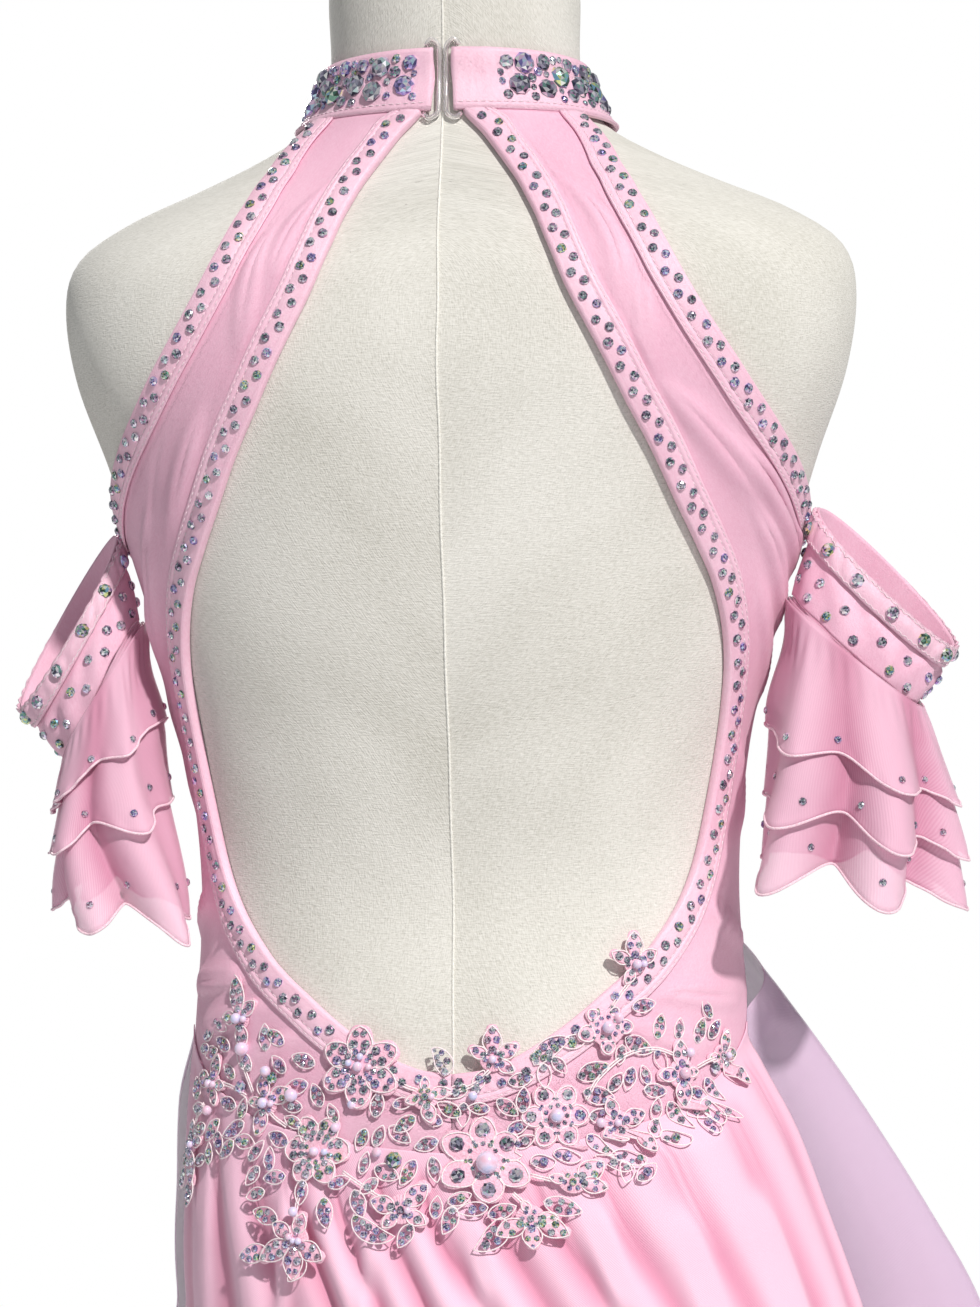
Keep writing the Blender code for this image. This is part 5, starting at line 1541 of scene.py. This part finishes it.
def flounce_grid(sleeve, tier):
    end = sleeve.drops[tier]
    turn, drop = degrees_round(200, np.linspace(0.0, end, 34))
    angle = np.radians(turn)
    outer = 0.5 + 0.5 * np.cos(angle)
    tight = ease((np.cos(np.radians(turn - FLOUNCE_TIGHT_TURN)) - 0.15) / 0.7)
    shift = 5.0 * np.sin(angle * 2 + tier * 1.7) * ease(drop / end)
    wave = 0.5 + 0.5 * np.cos(np.radians(turn * FLOUNCE_WAVES + 40.0 + shift * 2.0))
    dip = FLOUNCE_DIP * (2.0 * wave - 1.0) * (1.0 - tight)
    fall = drop * (1.0 - sleeve.lift * outer) * (1.0 + dip)
    cone = wave**0.75
    flare = FLOUNCE_SPREAD[tier] + sleeve.flare + sleeve.wave * cone
    swing = ease((fall - FLOUNCE_TUCK_FROM) / (FLOUNCE_TUCK_TO - FLOUNCE_TUCK_FROM))
    out = sleeve.out[tier] + mix(flare * fall, FLOUNCE_TUCK * swing, tight)
    gathers = FLOUNCE_GATHER * np.sin(angle * 34 + tier)
    gathers = gathers * ease(drop / 0.010) * ease((0.030 - drop) / 0.02)
    creases = FLOUNCE_CREASE * np.sin(angle * 11 + 0.7 * np.sin(angle * 3) + tier * 2.0)
    creases = creases * ease(drop / 0.03) * (1.0 - 0.8 * tight)
    ripple = FLOUNCE_RIPPLE * np.sin(angle * 29 + tier) * ease((drop - end + 0.008) / 0.008)
    out = out + gathers + creases + ripple * (1.0 - tight)
    place = loop_point(sleeve.loops, np.ones_like(turn), turn, out)
    behind = 0.5 - 0.5 * np.sin(angle)
    inward = ease((fall - FLOUNCE_IN_FROM) / (FLOUNCE_IN_TO - FLOUNCE_IN_FROM))
    place[..., 0] += sleeve.aside * behind * inward
    place[..., 1] -= sleeve.back * behind * ease(fall / FLOUNCE_BACK_DROP)
    place[..., 2] -= GATHER_GAP + fall
    # The second value is painted shade, darker in the troughs of the flounce's waves.
    return place, mix(wave, 0.45, tight)


ZIGZAG_STEPS, ZIGZAG_REACH, ZIGZAG_RADIUS = 150, 0.35, 0.00022


def zigzag(grid, normals, row):
    """A zigzag of thread round a closed grid."""
    spots = [(row + (ZIGZAG_REACH if k % 2 else -ZIGZAG_REACH), k / ZIGZAG_STEPS * grid.shape[1])
             for k in range(ZIGZAG_STEPS)]
    grid, normals = ring_closed(grid), ring_closed(normals)
    ups = [unit(sample(normals, *spot)) for spot in spots]
    points = [sample(grid, *spot) + up * 0.0010 for spot, up in zip(spots, ups)]
    return tube(points, ups, ZIGZAG_RADIUS, sides=4, closed=True)


def round_stone(grid, normals, share, turn, radius, kind, wall=0.0):
    """A stone on a closed grid, at this share of the way down it and this turn."""
    spot = share * (grid.shape[0] - 1), (turn % 360.0) / 360.0 * grid.shape[1]
    normal = unit(sample(ring_closed(normals), *spot))
    centre = sample(ring_closed(grid), *spot) + normal * (wall + radius * 0.05)
    return Stone(centre, normal, radius, kind)


SLEEVE_KINDS = ("clear", "dark", "violet", "green", "clear")
FLOUNCE_KINDS = ("pink", "dark", "clear", "violet")
SLEEVE_ROWS = ((0.56, 0.0), (0.82, 13.0))   # the stones' rows: share down, and shift in degrees
SLEEVE_STONES, BAND_STONES, FLOUNCE_STONES = 14, 13, 11
SLEEVE_STONE, BAND_STONE, FLOUNCE_STONE = 0.0024, 0.0033, 0.0018


def sleeve_pieces(sleeve, flip):
    """One sleeve with its band and flounces; gives its stones."""
    side, stones = sleeve.side, []
    grid = sleeve_grid(sleeve)
    normals = cloth(f"sleeve_cloth_{side}", grid, SATIN, f"sleeve_{side}",
                    offset=-1.0, closed=True, flip=flip)
    for row, shift in SLEEVE_ROWS:
        for k in range(SLEEVE_STONES):
            turn = k * 360.0 / SLEEVE_STONES + shift + RANDOM.uniform(-4.0, 4.0)
            kind = pick(SLEEVE_KINDS)
            share = row + RANDOM.uniform(-0.05, 0.05)
            stones.append(round_stone(grid, normals, share, turn, SLEEVE_STONE, kind))
    band = band_grid(sleeve)
    normals = cloth(f"sleeve_casing_{side}", band, SATIN_EDGE, f"sleeve_band_{side}",
                    closed=True, flip=flip)
    threads = [zigzag(band, normals, row) for row in (1.2, 8.8)]
    for k in range(BAND_STONES):
        turn = k * 360.0 / BAND_STONES + 6.0
        kind = pick(SLEEVE_KINDS)
        stones.append(round_stone(band, normals, 0.5, turn, BAND_STONE, kind, SATIN_SHELL))
    add_tubes(f"sleeve_stitches_{side}", threads, SEW_THREAD)
    for tier in range(3):
        grid, depth = flounce_grid(sleeve, tier)
        normals = cloth(f"flounce_cloth_{side}_{tier + 1}", grid, FLOUNCE_MESH,
                        f"flounce_{side}_{tier + 1}",
                        MESH_SHELL, -1.0, True, flip, depth)
        for k in range(FLOUNCE_STONES):
            kind = pick(FLOUNCE_KINDS)
            turn = k * 33.0 + tier * 12.0 + RANDOM.uniform(-6.0, 6.0)
            stones.append(round_stone(grid, normals, 0.88, turn, FLOUNCE_STONE, kind))
    return stones


def sleeves():
    for sleeve in SLEEVES:
        stones = sleeve_pieces(sleeve, sleeve.side == "right")
        add_stones(f"sleeve_stones_{sleeve.side}", stones)


# The lace


def cover_point(angle, height, lift, sewn=False):
    angle, height = np.broadcast_arrays(np.asarray(angle, float), np.asarray(height, float))
    lift = np.broadcast_to(lift, angle.shape)
    seam = waist_height(angle)
    drop = seam - height
    crest = fold_depth(FOLDS["gather"](angle), FOLDS["swing"](angle), drop, seam - SKIRT_HEM)
    crest = crest + gather_rise(drop)
    on_skirt = skirt_point(angle, height, "right_back", crest + lift - CLOTH_GAP)
    on_body = body_point(angle, np.maximum(height, FORM_BOTTOM), lift)
    if sewn:
        on_skirt = mix(on_skirt, on_body, (1.0 - ease(drop / SEAM_FADE))[..., None])
    return np.where((height >= seam)[..., None], on_body, on_skirt)


class LaceGround:
    """A motif's or a leaf's own flat ground: millimetres to the right and up from its middle."""

    def __init__(self, angle, height, lift, sewn=False):
        self.angle, self.height, self.lift, self.sewn = angle, height, lift, sewn
        across, up = surface_slopes(angle, height)
        self.wide, self.tall = np.linalg.norm(across), np.linalg.norm(up)

    def point(self, x, y, rise):
        angle = self.angle + np.asarray(x) * MM / self.wide
        height = self.height + np.asarray(y) * MM / self.tall
        return cover_point(angle, height, self.lift + rise, self.sewn)

    def frame_at(self, x, y, rise):
        """A place on the ground, with what points away from it there."""
        x, y = np.asarray(x), np.asarray(y)
        right = self.point(x + 0.5, y, rise) - self.point(x - 0.5, y, rise)
        up = self.point(x, y + 0.5, rise) - self.point(x, y - 0.5, rise)
        return self.point(x, y, rise), unit(np.cross(right, up))


def motif_reach(motif, direction):
    """How far the motif's outline lies from its middle, in millimetres."""
    reach = np.full(np.shape(direction), float(motif.core))
    for heading, length, spread in motif.petals:
        off = off_by(direction, heading)
        reach = np.maximum(reach, motif.core + (length - motif.core) * np.exp(-((off / spread) ** 4)))
    return reach


def petal_outline(heading, start, stop, half, blunt, steps=28):
    """A petal's or leaf's outline in millimetres."""
    t = np.linspace(0.0, 1.0, steps // 2 + 1)
    wide = half * np.sin(np.pi * t ** (0.75 if blunt else 0.85)) ** (0.55 if blunt else 0.8)
    along = mix(start, stop, t)
    x = np.concatenate([along, along[-2:0:-1]])
    y = np.concatenate([wide, -wide[-2:0:-1]])
    c, s = heading_of(heading)
    return x * c - y * s, x * s + y * c


NET_WALL = 0.0006
NET_SIDES = 96
NET_SHARES = np.array([0.0, 0.25, 0.5, 0.75, 0.93, 1.0])    # its rings, from the middle
CORD_RADIUS = 0.00032
STEM_RADIUS, STEM_RISE, STEM_APART = 0.00038, 0.0006, 0.0005   # two cords side by side
NET_RIPPLE = 0.00015
REST_LIFT = 0.0002              # what is sewn on lies this far off the net or the satin
MIDDLE_STONE, RING_STONE, SIDE_STONE, SMALL_PEARL = 0.0017, 0.00115, 0.00085, 0.0015
RING_SPACING = 2.9              # along the ring round a motif's middle, in millimetres
TOUCHING = 0.94                 # stones nearer than this share of their radii would clash
GAP_TRIES = 1500
STONE_ROOM = 0.30               # between the stones of a row, in millimetres
LEAF_KINDS = ("dark", "violet", "green", "clear", "violet", "clear")


def lace_net(motif, ground):
    """The motif's ground of net, cut to its outline, in place of its solid."""
    turns = 360.0 * np.arange(NET_SIDES) / NET_SIDES
    reach = motif_reach(motif, turns)
    shares = NET_SHARES[:, None]
    x = np.cos(np.radians(turns)) * reach * shares
    y = np.sin(np.radians(turns)) * reach * shares
    rise = MOTIF_RISE * (1.0 - shares**2) + NET_RIPPLE * np.sin(np.radians(turns) * 24) * shares
    rise[0] = MOTIF_RISE
    grid = ground.point(x, y, rise)
    points = np.concatenate([grid[0, :1], grid[1:].reshape(-1, 3)])
    faces = [[0, 1 + k, 1 + (k + 1) % NET_SIDES] for k in range(NET_SIDES)]
    for ring in range(len(NET_SHARES) - 2):
        start = 1 + ring * NET_SIDES
        faces += band_faces(start, start + NET_SIDES, NET_SIDES)
    name = "net_" + motif.name
    mesh = mesh_of(name, points, faces)
    piece = add(name, mesh, NET, ["lace_" + motif.name], NET_WALL)


def lace_motif(motif, cords, stones, pearls):
    ground = LaceGround(motif.angle, motif.height, CLOTH_GAP + BODICE_WALL + MOTIF_GAP + motif.lift)
    lace_net(motif, ground)

    def stone(x, y, radius, kind):
        away = min(1.0, math.hypot(x, y) / motif.core)
        rise = MOTIF_RISE * (1.0 - 0.8 * away) + NET_WALL + REST_LIFT
        place, normal = ground.frame_at(x, y, rise)
        stones.append(Stone(place, tilted(normal, 0.05), radius, kind))

    def pearl(x, y, radius):
        pearls.append((ground.frame_at(x, y, MOTIF_RISE + NET_WALL + radius * 0.72)[0], radius))

    flower = motif.name.startswith("flower")
    start = 2.6 if not flower else 5.6 if motif.large else 4.8
    slender, widest = (0.50, 5.4) if flower else (0.34, 4.4)
    for heading, length, _ in motif.petals:
        stop = length - 0.6
        half = min((stop - start) * slender, widest)
        c, s = heading_of(heading)
        outline = petal_outline(heading, start, stop, half, flower)
        rise = MOTIF_RISE * 0.4 + NET_WALL + CORD_RADIUS * 0.5
        cords.append(tube(*ground.frame_at(*outline, rise), CORD_RADIUS, closed=True))
        if motif.large:
            middle, near = mix(start, stop, 0.54), start + 0.9
            stone(middle * c, middle * s, half * 0.62 * MM, pick(motif.kinds))
            for beside in (-0.72 * half, 0.72 * half):
                stone(near * c - beside * s, near * s + beside * c, SIDE_STONE, pick(motif.kinds))
            continue
        at = start + 1.6
        while at < stop - 1.0:
            t = (at - start) / (stop - start)
            wide = half * math.sin(math.pi * t ** 0.8) ** 0.8
            room = max(wide - 0.3, 0.9)
            offsets = (-room * 0.5, room * 0.5) if room > 2.6 else (0.0,)
            size = min(room * (0.48 if len(offsets) == 2 else 0.85), 2.15)
            for off in offsets:
                stone(at * c - off * s, at * s + off * c, size * MM, pick(motif.kinds))
            at += 2.0 * size + STONE_ROOM
    ring = 4.4 if flower else 2.3
    if motif.pearl > 0:
        pearl(0.0, 0.0, motif.pearl * 0.5 * MM)
        ring = max(ring, motif.pearl * 0.5 + 1.2)
    else:
        stone(0.0, 0.0, MIDDLE_STONE, motif.kinds[0])
        ring = max(ring, RING_SPACING)
    for k, turn in enumerate(circle(int(2 * math.pi * ring / RING_SPACING))):
        if k < motif.small_pearls * 2 and k % 2 == 0:
            pearl(ring * math.cos(turn), ring * math.sin(turn), SMALL_PEARL)
        else:
            stone(ring * math.cos(turn), ring * math.sin(turn), RING_STONE, pick(motif.kinds))


def free_of(stones, pearls, centre, radius):
    """Whether a stone here would lie clear of all the others."""
    for other in stones:
        if np.linalg.norm(centre - other.centre) < TOUCHING * (radius + other.radius):
            return False
    return all(
        np.linalg.norm(centre - place) > TOUCHING * (radius + size) for place, size in pearls
    )


def sewn_lift(angle, height):
    """How far a small piece of lace lies off the bodice here: more over the binding."""
    over = height > opening_height(angle) - BINDING_WIDTH * 1.25
    return CLOTH_GAP + BODICE_WALL + MOTIF_GAP + (OVER_BINDING if over else OVER_SEAM)


def sewn_ground(angle, height):
    return LaceGround(angle, height, sewn_lift(angle, height), True)


def opening_height(angle):
    """How high the edge of the open back runs at an angle from its lowest point."""
    rows = PANEL_ROWS[:14:-1]
    return np.interp(abs(angle), [row.inner_angle for row in rows], [row.inner_height for row in rows])


def leaves_in_gaps(stones, pearls):
    """Small leaves for the bare places inside the lace."""
    taken = np.array([stone.centre for stone in stones] + [place for place, _ in pearls])
    found = []
    for _ in range(GAP_TRIES):
        angle = RANDOM.uniform(-64.0, 60.0)
        height = 0.8925 + 0.0125 * (abs(angle) / 60.0) ** 2 + RANDOM.uniform(-0.036, 0.030)
        heading = RANDOM.uniform(0.0, 360.0)
        length = RANDOM.uniform(8.5, 11.0)
        if height > opening_height(angle) - 0.006:
            continue
        ground = sewn_ground(angle, height)
        c, s = heading_of(heading)
        middle = ground.point(length / 2 * c, length / 2 * s, 0.0)
        away = np.linalg.norm(taken - middle, axis=1)
        if away.min() > 0.0062 and np.sort(away)[5] < 0.0145:
            found.append(Leaf(angle, height, heading, length, 0.0))
            taken = np.concatenate([taken, middle[None]])
    return found


def lace_leaf(leaf, cords, stones, pearls):
    """A leaf of cord with a row or two of stones in it."""
    steps = 16
    t = np.linspace(0.0, 1.0, steps + 1)
    heading = np.radians(leaf.heading + leaf.bend * (t - 0.5))
    step = leaf.length / steps
    x = np.concatenate([[0.0], np.cumsum(np.cos(heading[:-1]))]) * step
    y = np.concatenate([[0.0], np.cumsum(np.sin(heading[:-1]))]) * step
    c, s = np.cos(heading), np.sin(heading)
    half = min(leaf.length * 0.27, 3.9) * np.sin(np.pi * t**0.85) ** 0.75
    outline = [np.concatenate([a + b, (a - b)[-2:0:-1]]) for a, b in ((x, -half * s), (y, half * c))]
    reach = leaf.length * MM * np.array([math.cos(heading[8]), math.sin(heading[8])])
    wide = np.linalg.norm(surface_slopes(leaf.angle, leaf.height)[0])
    lift = max(sewn_lift(leaf.angle + share * reach[0] / wide, leaf.height + share * reach[1])
               for share in (0.0, 0.5, 1.0))
    ground = LaceGround(leaf.angle, leaf.height, lift, True)
    cords.append(tube(*ground.frame_at(*outline, REST_LIFT), CORD_RADIUS, closed=True))
    at = 1.9
    while at < leaf.length - 1.3:
        px, py, turn, room = (
            np.interp(at / leaf.length, t, values) for values in (x, y, heading, half)
        )
        room = float(room) - 0.35
        double = room > 2.5
        size = float(np.clip(room * (0.49 if double else 0.9), 0.85, 2.1))
        for off in ((-room * 0.5, room * 0.5) if double else (0.0,)):
            sx, sy = px - off * math.sin(turn), py + off * math.cos(turn)
            centre, normal = ground.frame_at(sx, sy, REST_LIFT)
            if free_of(stones, pearls, centre, size * MM):
                tilt = tilted(normal, 0.05)
                stones.append(Stone(centre, tilt, size * MM, pick(LEAF_KINDS)))
        at += 2.0 * size + STONE_ROOM


def lace():
    cords, stones, pearls = [], [], []
    for motif in MOTIFS:
        lace_motif(motif, cords, stones, pearls)
    for angle, height, radius, kind in SET_STONES:
        ground = sewn_ground(angle, height)
        centre, normal = ground.frame_at(0.0, 0.0, 0.0)
        stones.append(Stone(centre, normal, radius, kind))
    for angle, height, radius in SET_PEARLS:
        ground = sewn_ground(angle, height)
        pearls.append((ground.frame_at(0.0, 0.0, radius * 0.7)[0], radius))
    for leaf in LEAVES:
        lace_leaf(leaf, cords, stones, pearls)
    for leaf in leaves_in_gaps(stones, pearls):
        lace_leaf(leaf, cords, stones, pearls)
    for stem in STEMS:
        places = refined(np.array(stem.places), 8, 0)
        lift = CLOTH_GAP + BODICE_WALL + MOTIF_GAP + stem.lift + STEM_RISE
        points = cover_point(places[:, 0], places[:, 1], lift)
        ups = cover_point(places[:, 0], places[:, 1], lift + 0.005) - points
        beside = unit(np.cross(unit(np.gradient(points, axis=0)), unit(ups)))
        for shift in (-STEM_APART, STEM_APART):
            cords.append(tube(points + beside * shift, ups, STEM_RADIUS))
    add_tubes("lace_cords", cords, CORD)
    add_stones("lace_stones", stones)
    add_balls("lace_pearls", pearls, PEARL)


# The room, the lights and the camera


FLOOR_RADIUS, FLOOR_SIDES = 3.0, 128
SKY_STRENGTH, KEY_STRENGTH, FRONT_WATTS = 0.31, 3.3, 44.0


def link_to_scene(obj):
    bpy.context.scene.collection.objects.link(obj)
    return obj


def room():
    turns = circle(FLOOR_SIDES)
    rim = FLOOR_RADIUS * np.stack([np.cos(turns), np.sin(turns), 0.0 * turns], axis=1)
    mesh = mesh_of("floor", rim, [list(range(FLOOR_SIDES))], smooth=False)
    mesh.materials.append(floor_look())
    floor = link_to_scene(bpy.data.objects.new("floor", mesh))
    world = bpy.data.worlds.new("studio")
    world.use_nodes = True
    nodes, links = world.node_tree.nodes, world.node_tree.links
    sky = nodes["Background"]
    sky.inputs["Color"].default_value = (0.93, 0.96, 1.0, 1.0)
    sky.inputs["Strength"].default_value = SKY_STRENGTH
    wall = nodes.new("ShaderNodeBackground")
    wall.inputs["Color"].default_value = (1.0, 1.0, 1.0, 1.0)
    both = nodes.new("ShaderNodeMixShader")
    links.new(nodes.new("ShaderNodeLightPath").outputs["Is Camera Ray"], both.inputs["Fac"])
    links.new(sky.outputs[0], both.inputs[1])
    links.new(wall.outputs[0], both.inputs[2])
    links.new(both.outputs[0], nodes["World Output"].inputs["Surface"])
    bpy.context.scene.world = world


def area_light(name, place, target, size, power, colour):
    light = bpy.data.lights.new(name, "AREA")
    light.shape = "DISK"
    light.size = size
    light.energy = power
    light.color = colour
    obj = link_to_scene(bpy.data.objects.new(name, light))
    obj.location = place
    obj.rotation_euler = (Vector(target) - Vector(place)).to_track_quat("-Z", "Y").to_euler()


def lights():
    turn, rise = math.radians(KEY_TURN), math.radians(KEY_RISE)
    towards = Vector((
        math.sin(turn) * math.cos(rise), -math.cos(turn) * math.cos(rise), math.sin(rise)
    ))
    key = bpy.data.lights.new("key", "SUN")
    key.energy = KEY_STRENGTH
    key.angle = math.radians(3.0)
    key.color = (1.0, 0.97, 0.93)
    obj = link_to_scene(bpy.data.objects.new("key", key))
    obj.rotation_euler = (-towards).to_track_quat("-Z", "Y").to_euler()
    area_light("front", (-0.8, 2.4, 1.9), (0.0, 0.0, 0.9), 0.8, FRONT_WATTS, (1.0, 0.98, 0.95))


def camera():
    turn, roll = math.radians(CAMERA_TURN), math.radians(CAMERA_ROLL)
    back = Vector((math.sin(turn), -math.cos(turn), 0.0))
    right = Vector((math.cos(turn), math.sin(turn), 0.0))
    up = Vector((0.0, 0.0, 1.0))
    reach = CAMERA_DISTANCE + CAMERA_BACK
    aside = (PICTURE_WIDE / 2 - AXIS_PIXEL) * PIXEL * reach / CAMERA_DISTANCE
    place = right * aside + up * CAMERA_HEIGHT + back * reach
    x = right * math.cos(roll) + up * math.sin(roll)
    y = up * math.cos(roll) - right * math.sin(roll)
    data = bpy.data.cameras.new("photo_camera")
    data.sensor_fit = "VERTICAL"
    data.angle_y = 2 * math.atan(PICTURE_HIGH * PIXEL / 2 / CAMERA_DISTANCE)
    data.clip_start = 0.05
    obj = link_to_scene(bpy.data.objects.new("photo_camera", data))
    obj.matrix_world = Matrix((
        (x.x, y.x, back.x, place.x), (x.y, y.y, back.y, place.y), (x.z, y.z, back.z, place.z),
        (0.0, 0.0, 0.0, 1.0),
    ))
    bpy.context.scene.camera = obj


for make in (camera, room, lights, form_body, form_seam, form_stand, bodice, bindings, collar, clasp,
             skirt, sleeves, lace):
    make()
bpy.context.scene.view_settings.view_transform = "Standard"
